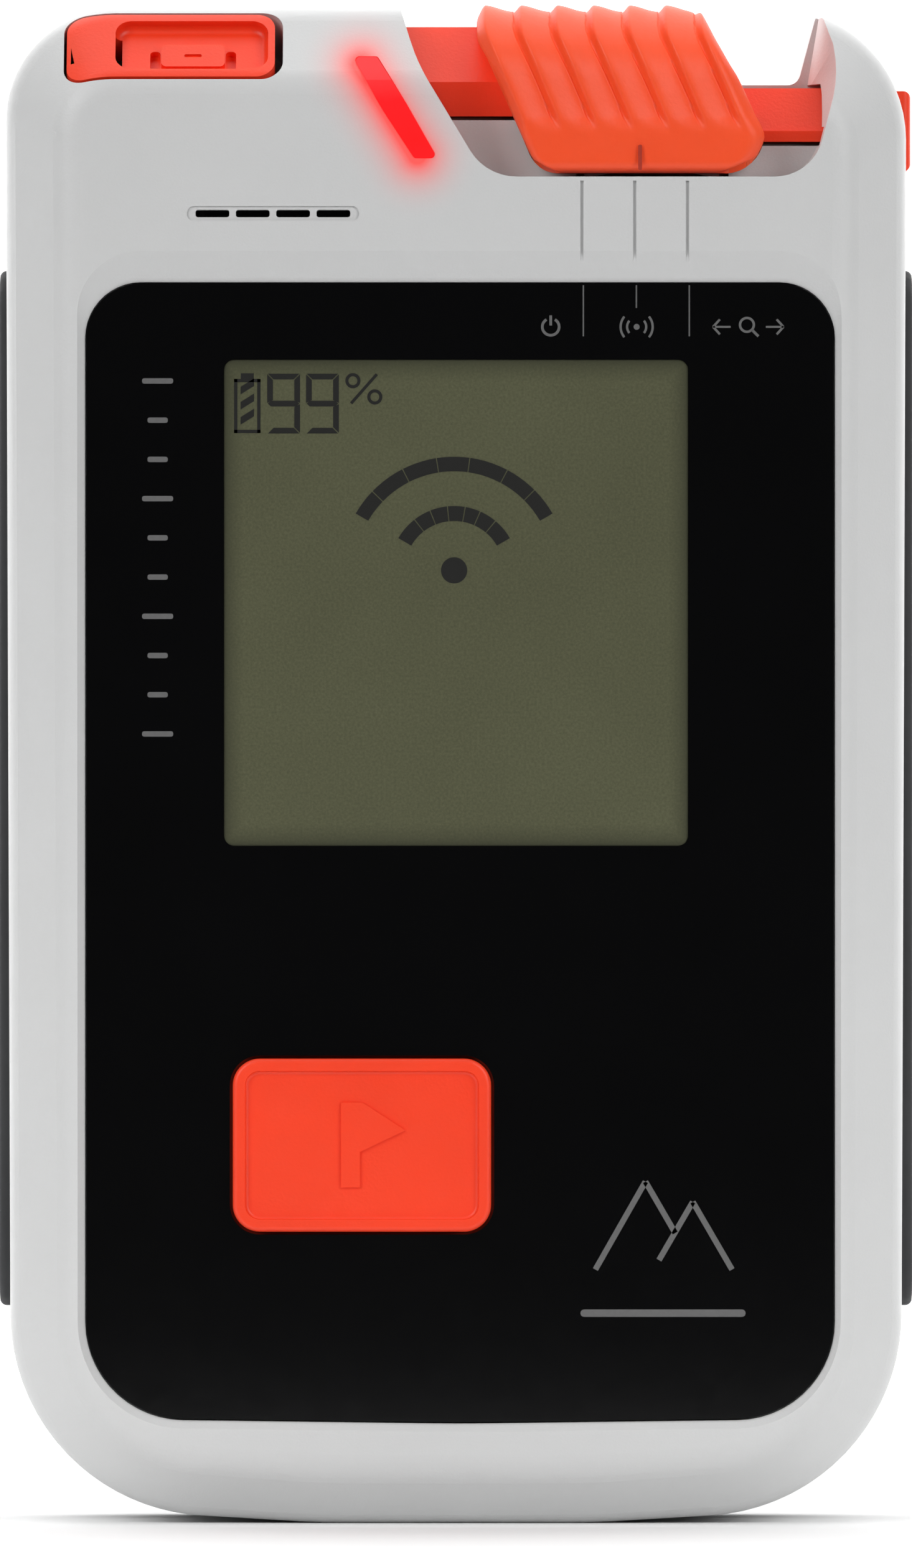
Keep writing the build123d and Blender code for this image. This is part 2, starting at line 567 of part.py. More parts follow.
def backlight_plate():
    """Light guide behind the display glass."""
    return plate(rectangle(LCD_X, LCD_Z, LCD_R, LCD_BORDER - 0.4), (LCD_BACK_Y + STACK_GAP, LIGHT_BACK_Y))


def button_centre():
    """The middle of the marker button, in X and Z."""
    return (BUTTON_X[0] + BUTTON_X[1]) / 2, (BUTTON_Z[0] + BUTTON_Z[1]) / 2


def display_frame():
    """Plastic frame that holds the display and the button seal against the pane."""
    x, z = button_centre()
    limits = (FRAME_BASE_Z, LCD_Z[1] + FRAME_MARGIN)
    half = BOARD_SCREW_X + FRAME_MARGIN
    frame = plate(rectangle((-half, half), limits, 2.0), (FRAME_FRONT_Y, FRAME_BACK_Y))
    frame -= rod_y(SWITCH_SIZE * 0.5 + 1.5, x, (FRAME_FRONT_Y - 1, FRAME_BACK_Y + 1), z)
    for foot_x in (-BOARD_SCREW_X, BOARD_SCREW_X):
        for foot_z in FOOT_Z:
            frame += rod_y(1.4, foot_x, (FRAME_FRONT_Y, BOARD_Y), foot_z)
    return frame


def marker_button():
    """Orange push button with a raised rim, a dished face and a raised pennant."""
    front = FRONT_Y + WINDOW_SINK - BUTTON_PROUD
    key = plate(rectangle(BUTTON_X, BUTTON_Z, BUTTON_R), (front, PANE_BACK_Y + 0.35))
    key = fillet(key.faces().sort_by(Axis.Y)[0].edges(), 0.35)
    dish = plate(rectangle(BUTTON_X, BUTTON_Z, BUTTON_R, -BUTTON_RIM), (front - 1, front + BUTTON_DISH))
    dish = fillet(dish.faces().sort_by(Axis.Y)[-1].edges(), 0.3)
    key -= dish
    x, z = button_centre()
    pole = (x - 1.54, x - 0.15)
    pennant = Polyline((pole[0], z - 3.12), (pole[1], z - 3.12), (pole[1], z - 0.5), (x + 3.2, z + 1.1),
                       (pole[1] + 0.2, z + 3.14), (pole[0], z + 3.14), close=True)
    key += plate(make_face(pennant), (front + BUTTON_DISH - 0.22, front + BUTTON_DISH + 0.1))
    flange = plate(rectangle(BUTTON_X, BUTTON_Z, BUTTON_R, FLANGE_W),
                   (PANE_BACK_Y + 0.3, PANE_BACK_Y + 0.3 + FLANGE_T))
    return key + flange


def switch_stem():
    """Plunger between the button and its switch."""
    x, z = button_centre()
    return rod_y(STEM_R, x, (PANE_BACK_Y + 0.3 + FLANGE_T, STEM_END_Y), z)


def button_seal():
    """Silicone ring that keeps water away from the switch."""
    x, z = button_centre()
    y = (FRAME_FRONT_Y - 0.6, FRAME_FRONT_Y)
    return rod_y(7.0, x, y, z) - rod_y(STEM_R + 0.4, x, (y[0] - 1, y[1] + 1), z)


def tact_switch():
    """Square switch on the board under the button."""
    x, z = button_centre()
    half = SWITCH_SIZE / 2
    body = box((x - half, x + half), (BOARD_Y - SWITCH_T, BOARD_Y), (z - half, z + half))
    return fillet(body.edges().filter_by(Axis.Y), 0.5)


def main_board():
    """Circuit board behind the display."""
    board = plate(rectangle((-BOARD_X, BOARD_X), BOARD_Z, 1.5), (BOARD_Y, BOARD_Y + BOARD_T))
    for x, z in board_screw_places():
        board -= rod_y(BOARD_SCREW_R + 0.1, x, (BOARD_Y - 1, BOARD_Y + BOARD_T + 1), z)
    return board


def board_screw_places():
    """Where the board's screws stand."""
    return [(x, z) for z in BOARD_SCREW_Z for x in (-BOARD_SCREW_X, BOARD_SCREW_X)]


def board_chips():
    """Processor, radio can and connectors on the back of the board."""
    y = BOARD_Y + BOARD_T
    top = BOARD_Z[1]
    places = [((-14, -4), 1.2, (top - 27, top - 17)), ((0, 15), 1.8, (top - 26, top - 14)),
              ((-13, -7), 1.0, (top - 13, top - 7)), ((-22, -16), 1.6, (top - 13, top - 9)),
              ((17, 22), 1.4, (top - 22, top - 14))]
    return group(box(x, (y, y + rise), z) for x, rise, z in places)


def board_screws():
    """Small screws that hold the board to the display frame."""
    screws = []
    back = BOARD_Y + BOARD_T
    for x, z in board_screw_places():
        screw = rod_y(BOARD_SCREW_R, x, (FRAME_BACK_Y, back), z)
        screws.append(screw + rod_y(BOARD_SCREW_R + 0.9, x, (back, back + 1.0), z))
    return group(screws)


# ---- mode switch -------------------------------------------------------------------------
def grip_outline():
    """The slanted thumb grip, seen from the front."""
    rise = GRIP_TOP_Z + 0.5
    left, base = GRIP_LEFT_X, GRIP_BASE_Z
    points = [(left, rise), (left, base + 10.7), (GRIP_X[0], base), (GRIP_X[1], base),
              (GRIP_X[1] + 0.7, base + 2.7), (GRIP_X[1] - 4.05, rise)]
    return rounded(points, [0.0, 2.0, 2.2, 3.0, 0.8, 0.0])


def grip_section():
    """The thumb grip seen from the side: a skirt in front and a cap over the top."""
    skirt_back = GRIP_FRONT_Y + GRIP_SKIRT_T
    cap_low = NOTCH_REST_Z + SLIDE_GAP + 0.05
    points = [(GRIP_FRONT_Y + 0.3, GRIP_BASE_Z), (skirt_back, GRIP_BASE_Z), (skirt_back, TONGUE_LOW_Z),
              (TONGUE_BACK_Y, TONGUE_LOW_Z), (TONGUE_BACK_Y, cap_low), (GRIP_BACK_Y, cap_low),
              (GRIP_BACK_Y, GRIP_TOP_Z), (GRIP_FRONT_Y, GRIP_TOP_Z), (GRIP_FRONT_Y, GRIP_BASE_Z + 4.0)]
    return rounded(points, [0.8, 0.5, 0.0, 0.0, 0.0, 0.6, 3.5, GRIP_CREST_R, 3.0])


def slider_core():
    """The carriage's body inside the thumb grip."""
    front, low, high = TONGUE_FRONT_Y, TONGUE_LOW_Z, CASE_H - 1.9
    section = make_face(Polyline((front, low), (TONGUE_BACK_Y, low), (TONGUE_BACK_Y, high),
                                 (front + 3.9, high), (front, high - 3.8), close=True))
    return bar(section, CORE_X) - rest_clearance()


def rest_clearance():
    """Room behind the skirt for the left ledge, over the whole travel."""
    x = (GRIP_LEFT_X - 3, REST_LEFT_X + SLIDE_TRAVEL + SLIDE_GAP)
    return box(x, (GRIP_FRONT_Y + GRIP_SKIRT_T, BACK_Y), (GRIP_BASE_Z - 1, LEFT_TONGUE_Z))


def slider_grip():
    """Soft ribbed thumb grip, moulded over the carriage."""
    deep = (GRIP_FRONT_Y - 1, GRIP_BACK_Y + 1)
    grip = plate(grip_outline(), deep) & bar(grip_section(), (GRIP_LEFT_X - 3, GRIP_X[1] + 3))
    slant = atan2(*RIB_SLANT)
    length = (GRIP_TOP_Z - RIB_END_Z) / cos(slant)
    for i in range(RIB_COUNT - 1):
        x = RIB_FIRST_X + (i + 0.5) * RIB_PITCH + 0.4
        grip -= rod_y(RIB_CUT_R, x, deep, GRIP_TOP_Z + RIB_CUT_R - RIB_DEPTH)
        grip -= (Pos(x, GRIP_FRONT_Y - RIB_CUT_R + RIB_DEPTH, GRIP_TOP_Z) * Rot(0, -degrees(slant), 0)
                 * Pos(0, 0, -length / 2) * Cylinder(RIB_CUT_R, length))
    mark_x = (GRIP_MARK_X - GRIP_MARK_W / 2, GRIP_MARK_X + GRIP_MARK_W / 2)
    mark_z = (GRIP_BASE_Z - 1, GRIP_BASE_Z + GRIP_MARK_H)
    grip -= box(mark_x, (GRIP_FRONT_Y - 1, GRIP_FRONT_Y + 0.35), mark_z)
    skirt_back = GRIP_FRONT_Y + GRIP_SKIRT_T
    grip -= box((GRIP_BEHIND_X, CASE_W), (skirt_back, BACK_Y), (GRIP_BASE_Z, NOTCH_REST_Z))
    grip -= rest_clearance()
    grip -= slider_core()
    grip -= bar(left_tongue(), (GRIP_LEFT_X - 3, CORE_X[0]))
    return grip - bar(right_tongue(), (CORE_X[1], HALF_W))


def slider_carriage():
    """Carriage with a tongue at each end that runs in the head of the case."""
    carriage = slider_core()
    carriage += bar(left_tongue(), (TONGUE_LEFT_END, CORE_X[0]))
    carriage += bar(right_tongue(), (CORE_X[1], TONGUE_RIGHT_END))
    low = TONGUE_LOW_Z - 0.1
    for shift in (-SLIDE_TRAVEL, 0.0, SLIDE_TRAVEL):
        x = DETENT_X + shift
        tip = (x, TONGUE_LOW_Z + DETENT_DEPTH)
        groove = Polyline((x - DETENT_R, low), (x + DETENT_R, low), tip, close=True)
        carriage -= plate(make_face(groove), (TONGUE_FRONT_Y - 0.4, TONGUE_BACK_Y + 1))
    return carriage - magnet_rod(TONGUE_BACK_Y + 1)


def magnet_rod(back):
    """The magnet's round shape, up to a depth."""
    return rod_y(MAGNET_R, MAGNET_X, (TONGUE_BACK_Y - MAGNET_L, back), TONGUE_LOW_Z + 5.0)


def slider_magnet():
    """Magnet that tells the sensor where the switch stands."""
    return magnet_rod(TONGUE_BACK_Y - 0.2)


def detent_spring():
    """Leaf spring that clicks into the carriage's three grooves."""
    low = [(-DETENT_HALF, 0.0), (-2.0, 0.6), (0.0, 2.6), (2.0, 0.6), (DETENT_HALF, 0.0)]
    high = [(x, z + DETENT_T) for x, z in reversed(low)]
    points = [(DETENT_X + x, NOTCH_FLOOR_Z + z) for x, z in low + high]
    return plate(make_face(Polyline(*points, close=True)), (TONGUE_FRONT_Y + 1.0, TONGUE_FRONT_Y + 4.2))


def hall_sensors():
    """Sensor strip inside the head, behind the switch."""
    front = NOTCH_BACK_Y + HEAD_WALL + 0.1
    low, high = TONGUE_LOW_Z - 1.4, TONGUE_LOW_Z + 2.6
    middle = MAGNET_X - 2.1
    strip = box((middle - 5.5, middle + 5.5), (front, front + 0.8), (low, high))
    for x in (middle - SLIDE_TRAVEL, middle, middle + SLIDE_TRAVEL):
        strip += box((x - 1.0, x + 1.0), (front + 0.8, front + 1.7), (low + 1.0, high - 1.0))
    return strip


# ---- lock lever --------------------------------------------------------------------------
def lock_button(body):
    """Thumb lever flush with the shoulder, with a scoop, a bar and two pits."""
    lever = shoulder_block(LOCK_X, LOCK_V, (-LOCK_T, 4.0), LOCK_R) & body
    v_mid = (LOCK_V[0] + LOCK_V[1]) / 2
    scoop = shoulder_block(LOCK_SCOOP_X, (LOCK_V[0] + 0.7, LOCK_V[1] - 0.7), (-LOCK_SCOOP_T, 3.0), 1.2)
    scoop = fillet(scoop.faces().sort_by(Axis.Z)[0].edges(), 0.5)
    scoop -= shoulder_block(LOCK_BAR_X, LOCK_BAR_V, (-3.0, -0.35), 0.4)
    lever -= scoop
    for x in (LOCK_BAR_X[0] - 0.45, LOCK_BAR_X[1] + 0.45):
        lever -= shoulder_block((x - 0.38, x + 0.38), (LOCK_BAR_V[0] + 0.1, LOCK_BAR_V[1] - 0.1),
                                (-LOCK_SCOOP_T - 0.6, 0), 0.3)
    x_mid = (LOCK_BAR_X[0] + LOCK_BAR_X[1]) / 2
    lever -= shoulder_block((x_mid - 0.65, x_mid + 0.65), (LOCK_BAR_V[0] + 0.9, LOCK_BAR_V[0] + 1.2),
                            (-0.6, 0), 0.14)
    lever -= shoulder_block((LOCK_PIN_X - 1.9, LOCK_PIN_X + 1.9), (v_mid - 1.3, v_mid + 1.3), (-5.0, -0.6))
    lever -= shoulder_rod(LOCK_PIN_R + RUN_FIT, (-1, 8))
    return lever


def lock_pin():
    """Pin that the lock lever turns on."""
    return shoulder_rod(LOCK_PIN_R, (LOCK_V[0] - 1.2, LOCK_V[1] + 1.2))


def lock_spring():
    """Torsion spring coiled round the lock pin."""
    v_mid = (LOCK_V[0] + LOCK_V[1]) / 2
    place = SHOULDER.location * Pos(LOCK_PIN_X, v_mid - 0.84, LOCK_PIN_W) * Rot(90, 0, 0)
    coil = place * Torus(1.18, 0.24)
    for i in range(1, 5):
        coil += place * Pos(0, 0, -0.42 * i) * Torus(1.18, 0.24)
    return coil


# ---- light and loudspeaker ---------------------------------------------------------------
def led_lens():
    """Clear red light strip in the head."""
    lens = plate(light_outline(), (FRONT_Y - 0.12, FRONT_Y + LIGHT_T))
    x = (LIGHT_X[0] - 10, LIGHT_X[1] + 10)
    head = box(x, (FRONT_Y - 1, FRONT_Y + 3), (CASE_H - SHOULDER_TOP, CASE_H))
    return lens - (head - shoulder_block(x, (-3, 12), (-12, 0.12)))


def status_led(gap=0.0):
    """Light source behind the strip."""
    x, z = light_middle()
    back = FRONT_Y + LIGHT_T
    return rod_y(LED_R + gap, x + LIGHT_W / 2, (back + 0.1 - gap, back + 0.1 + LED_H), z)


def speaker_mesh():
    """Fine acoustic membrane behind the slots."""
    return rod_y(SPEAKER_R, SLOT_MID[0], (SPEAKER_Y, SPEAKER_Y + 0.2), SLOT_MID[1] - SPEAKER_DROP)


def speaker():
    """Loudspeaker capsule."""
    x, z = SLOT_MID[0], SLOT_MID[1] - SPEAKER_DROP
    y = SPEAKER_Y + 0.3
    capsule = rod_y(SPEAKER_R, x, (y, y + SPEAKER_T * 0.5), z)
    capsule += rod_y(SPEAKER_R * 0.7, x, (y, y + SPEAKER_T), z)
    return capsule - rod_y(SPEAKER_R * 0.8, x, (y - 1, y + 0.5), z)


# ---- antennas ----------------------------------------------------------------------------
LONG_ROD = dict(x=6.4 - HALF_W, y=PART_Y - 2.4, z=(18.0, CASE_H - 28.3))
CROSS_ROD = dict(x=(13.4 - HALF_W, HALF_W - 13.4), y=PART_Y + 1.6, z=(BLOCK_TOP_Z + HEAD_Z - 1.7) / 2)
SHORT_ROD = dict(x=HALF_W - 6.6, y=(PART_Y - 6.6, PART_Y + 6.4), z=CASE_H - 38.3)


def antenna_coils():
    """Copper windings round the three rods."""
    r = ROD_R + COIL_T
    z = (LONG_ROD["z"][0] + 8, LONG_ROD["z"][1] - 8)
    x = (CROSS_ROD["x"][0] + 6, CROSS_ROD["x"][1] - 6)
    y = (SHORT_ROD["y"][0] + 2, SHORT_ROD["y"][1] - 2)
    return group([rod_z(r, LONG_ROD["x"], LONG_ROD["y"], z) - rod_z(ROD_R, **LONG_ROD),
                  rod_x(r, x, CROSS_ROD["y"], CROSS_ROD["z"]) - rod_x(ROD_R, **CROSS_ROD),
                  rod_y(r, SHORT_ROD["x"], y, SHORT_ROD["z"]) - rod_y(ROD_R, **SHORT_ROD)])


# ---- batteries ---------------------------------------------------------------------------
def cell_x(i):
    """Where cell i lies."""
    return (i - (CELL_COUNT - 1) / 2) * CELL_PITCH


def battery(i):
    """One dry cell with its raised contact, turned end for end with its neighbours."""
    up = i % 2 == 0
    z = (CELL_BASE_Z, CELL_BASE_Z + CELL_L)
    can = (z[0], z[1] - 0.8) if up else (z[0] + 0.8, z[1])
    cell = rod_z(CELL_R, cell_x(i), CELL_Y, can)
    cell = fillet(cell.edges().filter_by(GeomType.CIRCLE), 0.5)
    return cell + rod_z(1.9, cell_x(i), CELL_Y, z)


def battery_contacts():
    """Contact plates at both ends of the bay."""
    plates = []
    for i in range(CELL_COUNT):
        x = (cell_x(i) - 4.0, cell_x(i) + 4.0)
        for z in ((BAY_Z[0], BAY_Z[0] + CONTACT_T), (BAY_Z[1] - CONTACT_T, BAY_Z[1])):
            plates.append(box(x, (CELL_Y - 4.0, CELL_Y + 4.0), z))
    return group(plates)


def contact_springs():
    """Springs that press on the flat end of each cell."""
    springs = []
    for i in range(CELL_COUNT):
        low = i % 2 == 0
        start = BAY_Z[0] + CONTACT_T if low else BAY_Z[1] - CONTACT_T
        step = 0.58 if low else -0.58
        spring = Pos(cell_x(i), CELL_Y, start + step * 0.6) * Torus(3.0, SPRING_WIRE_R)
        spring += Pos(cell_x(i), CELL_Y, start + step * 1.5) * Torus(2.7, SPRING_WIRE_R)
        spring += Pos(cell_x(i), CELL_Y, start + step * 2.4) * Torus(2.4, SPRING_WIRE_R)
        springs.append(spring)
    return group(springs)


# ---- battery cover -----------------------------------------------------------------------
def battery_cover():
    """Cover that swings on a pin at its upper edge."""
    y = (COVER_IN_Y, BACK_Y)
    limits = (COVER_BASE_Z, HINGE_Z - HINGE_R - HINGE_CLEAR)
    cover = plate(rectangle((-COVER_HALF, COVER_HALF), limits, 2.2), y)
    rim = rectangle(BAY_X, BAY_Z, 0.5, -0.6)
    cover += plate(rim, (COVER_IN_Y - 0.45, COVER_IN_Y)) - plate(
        rectangle(BAY_X, BAY_Z, 0.2, -1.8), (COVER_IN_Y - 2, COVER_IN_Y))
    cover += box((-HINGE_HALF, HINGE_HALF), y, (HINGE_Z - HINGE_R - 1.45, HINGE_Z))
    cover += rod_x(HINGE_R, (-HINGE_HALF, HINGE_HALF), HINGE_Y, HINGE_Z)
    cover -= rod_x(HINGE_PIN_R + RUN_FIT, (-HINGE_HALF - 1, HINGE_HALF + 1), HINGE_Y, HINGE_Z)
    cover -= rod_y(COIN_SHANK_R + RUN_FIT, 0, (0, CASE_D), COIN_Z)
    cover -= rod_y(COIN_HEAD_R + 0.15, 0, (BACK_Y - 1.2, CASE_D), COIN_Z)
    for i in range(COVER_RIB_COUNT):
        z = COVER_RIB_Z + i * 3.0
        cover -= plate(rectangle((-8.0, 8.0), (z - 0.5, z + 0.5), 0.45), (BACK_Y - 0.4, CASE_D))
    return cover


def cover_seal():
    """Flat gasket on the inside of the battery cover."""
    y = (COVER_IN_Y - COVER_SEAL_T, COVER_IN_Y)
    ring = plate(rectangle(BAY_X, BAY_Z, 1.0, 1.3), y)
    return ring - plate(rectangle(BAY_X, BAY_Z, 1.0, 0.2), (y[0] - 1, y[1] + 1))


def cover_pin():
    """Hinge pin of the battery cover."""
    return rod_x(HINGE_PIN_R, (-HINGE_HALF - EAR_T, HINGE_HALF + EAR_T), HINGE_Y, HINGE_Z)


def coin_lock():
    """Slotted lock that a coin turns."""
    top = BACK_Y - 0.15
    lock = rod_y(COIN_HEAD_R, 0, (top - COIN_HEAD_T, top), COIN_Z)
    lock = fillet(lock.edges().filter_by(GeomType.CIRCLE).sort_by(Axis.Y)[-1], 0.25)
    lock += rod_y(COIN_SHANK_R, 0, (LEDGE_Y - COIN_REACH, top - 0.1), COIN_Z)
    return lock - box((-3.0, 3.0), (top - 0.55, CASE_D), (COIN_Z - 0.6, COIN_Z + 0.6))


def coin_washer():
    """Sealing washer under the lock's head."""
    top = BACK_Y - 0.15 - COIN_HEAD_T
    washer = rod_y(3.3, 0, (BACK_Y - 1.2, top), COIN_Z)
    return washer - rod_y(COIN_SHANK_R, 0, (0, CASE_D), COIN_Z)


# ---- fasteners and trim ------------------------------------------------------------------
def housing_screws():
    """Case screws from the back, with a cross recess."""
    screws = []
    for x, z in screw_places():
        seat = BACK_Y - 2.4
        screw = rod_y(SCREW_R, x, (PART_Y - 7.5, seat), z)
        screw += rod_y(SCREW_HEAD_R, x, (seat, seat + SCREW_HEAD_T), z)
        screw -= box((x - 1.2, x + 1.2), (seat + 0.7, CASE_D), (z - 0.25, z + 0.25))
        screw -= box((x - 0.25, x + 0.25), (seat + 0.7, CASE_D), (z - 1.2, z + 1.2))
        screws.append(screw)
    return group(screws)


def leash_eyelet():
    """Insert in the side of the head that the leash is tied through."""
    y = (EYELET_Y[0] + EYELET_Y[1]) / 2
    z = (EYELET_Z[0] + EYELET_Z[1]) / 2
    return eyelet_block() - rod_x(EYELET_BORE_R, (0, CASE_W), y, z)


def vibration_motor():
    """Small motor that buzzes when the mode changes."""
    x, y, z = HALF_W - 6.4, PART_Y - 2.5, 40.0
    return rod_z(MOTOR_R, x, y, (z, z + 12.0)) + rod_z(MOTOR_R - 0.7, x, y, (z + 12.0, z + 15.0))


# ---- everything --------------------------------------------------------------------------
def main():
    body = case_body()
    nodes = {
        "front_housing": front_housing(body),
        "rear_housing": rear_housing(body),
        "housing_seal": housing_seal(),
        "display_window": display_window(),
        "lcd_glass": lcd_glass(),
        "backlight_plate": backlight_plate(),
        "display_frame": display_frame(),
        "main_board": main_board(),
        "board_chips": board_chips(),
        "board_screws": board_screws(),
        "tact_switch": tact_switch(),
        "marker_button": marker_button(),
        "switch_stem": switch_stem(),
        "button_seal": button_seal(),
        "slider_grip": slider_grip(),
        "slider_carriage": slider_carriage(),
        "slider_magnet": slider_magnet(),
        "detent_spring": detent_spring(),
        "hall_sensors": hall_sensors(),
        "lock_button": lock_button(body),
        "lock_pin": lock_pin(),
        "lock_spring": lock_spring(),
        "led_lens": led_lens(),
        "status_led": status_led(),
        "speaker_mesh": speaker_mesh(),
        "speaker": speaker(),
        "long_antenna": rod_z(ROD_R, **LONG_ROD),
        "cross_antenna": rod_x(ROD_R, **CROSS_ROD),
        "short_antenna": rod_y(ROD_R, **SHORT_ROD),
        "antenna_coils": antenna_coils(),
        "battery_contacts": battery_contacts(),
        "contact_springs": contact_springs(),
        "battery_cover": battery_cover(),
        "cover_seal": cover_seal(),
        "cover_pin": cover_pin(),
        "coin_lock": coin_lock(),
        "coin_washer": coin_washer(),
        "housing_screws": housing_screws(),
        "leash_eyelet": leash_eyelet(),
        "vibration_motor": vibration_motor(),
    }
    for i in range(CELL_COUNT):
        nodes[f"battery_{i + 1}"] = battery(i)
    for side, name in ((-1, "left"), (1, "right")):
        nodes[f"side_grip_{name}"] = side_grip_block(side)
    os.makedirs("parts", exist_ok=True)
    for name, shape in nodes.items():
        export_step(shape, f"parts/{name}.step")


main()
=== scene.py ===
"""Looks of the avalanche transceiver: finer pieces, procedural materials, light and camera."""
import json
from math import atan2, ceil, cos, degrees, hypot, pi, radians, sin, sqrt

import bmesh
import bpy
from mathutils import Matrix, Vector


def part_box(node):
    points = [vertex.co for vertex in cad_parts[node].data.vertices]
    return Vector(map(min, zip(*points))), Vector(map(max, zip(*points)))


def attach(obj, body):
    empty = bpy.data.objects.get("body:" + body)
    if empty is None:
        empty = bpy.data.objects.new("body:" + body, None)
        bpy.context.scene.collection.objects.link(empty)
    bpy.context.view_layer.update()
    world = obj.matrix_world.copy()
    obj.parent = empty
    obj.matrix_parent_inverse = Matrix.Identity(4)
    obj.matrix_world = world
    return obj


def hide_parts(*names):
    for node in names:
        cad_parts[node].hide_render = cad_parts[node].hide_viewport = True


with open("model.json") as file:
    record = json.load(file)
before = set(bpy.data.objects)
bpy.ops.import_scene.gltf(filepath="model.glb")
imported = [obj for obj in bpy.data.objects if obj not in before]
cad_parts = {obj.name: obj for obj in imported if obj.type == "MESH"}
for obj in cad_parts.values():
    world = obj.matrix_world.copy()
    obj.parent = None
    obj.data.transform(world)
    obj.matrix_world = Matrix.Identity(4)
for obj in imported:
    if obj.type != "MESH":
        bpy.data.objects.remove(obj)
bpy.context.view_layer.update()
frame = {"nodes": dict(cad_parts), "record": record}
NODES = frame["nodes"]
MM = 0.001


# ---- small helpers -----------------------------------------------------------------------
def place(x, y, z):
    """Millimetres to a vector in metres."""
    return Vector((x * MM, y * MM, z * MM))


def mesh_object(name, verts, faces, smooth=True):
    """A mesh piece from points in millimetres."""
    mesh = bpy.data.meshes.new(name)
    mesh.from_pydata([tuple(place(*v)) for v in verts], [], faces)
    mesh.validate()
    work = bmesh.new()
    work.from_mesh(mesh)
    bmesh.ops.recalc_face_normals(work, faces=work.faces)
    work.to_mesh(mesh)
    work.free()
    if smooth:
        for poly in mesh.polygons:
            poly.use_smooth = True
    obj = bpy.data.objects.new(name, mesh)
    bpy.context.scene.collection.objects.link(obj)
    return obj


def sharpen(obj, angle=35.0):
    """Mark edges sharper than the angle, so that smooth shading keeps them."""
    work = bmesh.new()
    work.from_mesh(obj.data)
    for edge in work.edges:
        if len(edge.link_faces) == 2 and edge.calc_face_angle() > radians(angle):
            edge.smooth = False
    work.to_mesh(obj.data)
    work.free()


def slab(outline, low_y, high_y):
    """Points and faces of a flat piece: an outline in X and Z between two depths."""
    n = len(outline)
    verts = [(x, low_y, z) for x, z in outline] + [(x, high_y, z) for x, z in outline]
    faces = [tuple(range(n)), tuple(range(2 * n - 1, n - 1, -1))]
    faces += [(i, (i + 1) % n, (i + 1) % n + n, i + n) for i in range(n)]
    return verts, faces


def join(parts):
    """Several lists of points and faces as one."""
    verts, faces = [], []
    for part_verts, part_faces in parts:
        base = len(verts)
        verts += part_verts
        faces += [tuple(i + base for i in face) for face in part_faces]
    return verts, faces


# ---- materials ---------------------------------------------------------------------------
def shader(name, roughness, metallic=0.0, coat=0.0, coat_roughness=0.1, ior=1.46):
    """A new material and its Principled shader."""
    mat = bpy.data.materials.new(name)
    mat.use_nodes = True
    node = mat.node_tree.nodes["Principled BSDF"]
    node.inputs["Roughness"].default_value = roughness
    node.inputs["Metallic"].default_value = metallic
    node.inputs["Coat Weight"].default_value = coat
    node.inputs["Coat Roughness"].default_value = coat_roughness
    node.inputs["IOR"].default_value = ior
    return mat, node


def add(mat, kind, **values):
    """A node with some of its sockets and settings given."""
    node = mat.node_tree.nodes.new(kind)
    for key, value in values.items():
        if key in node.inputs:
            node.inputs[key].default_value = value
        else:
            setattr(node, key, value)
    return node


def link(mat, source, target):
    """Join an output socket to an input socket."""
    mat.node_tree.links.new(source, target)


def coords(mat):
    """Object coordinates, which stay with the piece."""
    return add(mat, "ShaderNodeTexCoord").outputs["Object"]


def coordinate(mat, axis):
    """One of the object coordinates."""
    parts = add(mat, "ShaderNodeSeparateXYZ")
    link(mat, coords(mat), parts.inputs[0])
    return parts.outputs[axis]


def remap(mat, value, **limits):
    """A Map Range node over a value, with From Min, To Max and so on as from_min, to_max."""
    node = add(mat, "ShaderNodeMapRange")
    for key, limit in limits.items():
        node.inputs[key.replace("_", " ").title()].default_value = limit
    link(mat, value, node.inputs["Value"])
    return node.outputs["Result"]


def noise(mat, scale, detail=4.0, rough=0.55):
    """Noise over the piece's own coordinates."""
    node = add(mat, "ShaderNodeTexNoise")
    node.inputs["Scale"].default_value = scale
    node.inputs["Detail"].default_value = detail
    node.inputs["Roughness"].default_value = rough
    link(mat, coords(mat), node.inputs["Vector"])
    return node.outputs["Fac"]


def ramp(mat, value, stops):
    """A colour ramp over a value."""
    node = add(mat, "ShaderNodeValToRGB")
    link(mat, value, node.inputs["Fac"])
    elements = node.color_ramp.elements
    while len(elements) < len(stops):
        elements.new(0.5)
    for element, (where, colour) in zip(elements, stops):
        element.position = where
        element.color = (*colour, 1.0)
    return node.outputs["Color"]


def bump(mat, shade, height, strength, distance):
    """Bump from a height."""
    node = add(mat, "ShaderNodeBump")
    node.inputs["Strength"].default_value = strength
    node.inputs["Distance"].default_value = distance
    link(mat, height, node.inputs["Height"])
    link(mat, node.outputs["Normal"], shade.inputs["Normal"])


def maths(mat, operation, first, second=None, clamp=False):
    """A Math node on sockets or numbers."""
    node = add(mat, "ShaderNodeMath")
    node.operation = operation
    node.use_clamp = clamp
    for socket, value in zip(node.inputs, (first, second)):
        if value is None:
            continue
        if isinstance(value, (int, float)):
            socket.default_value = value
        else:
            link(mat, value, socket)
    return node.outputs[0]


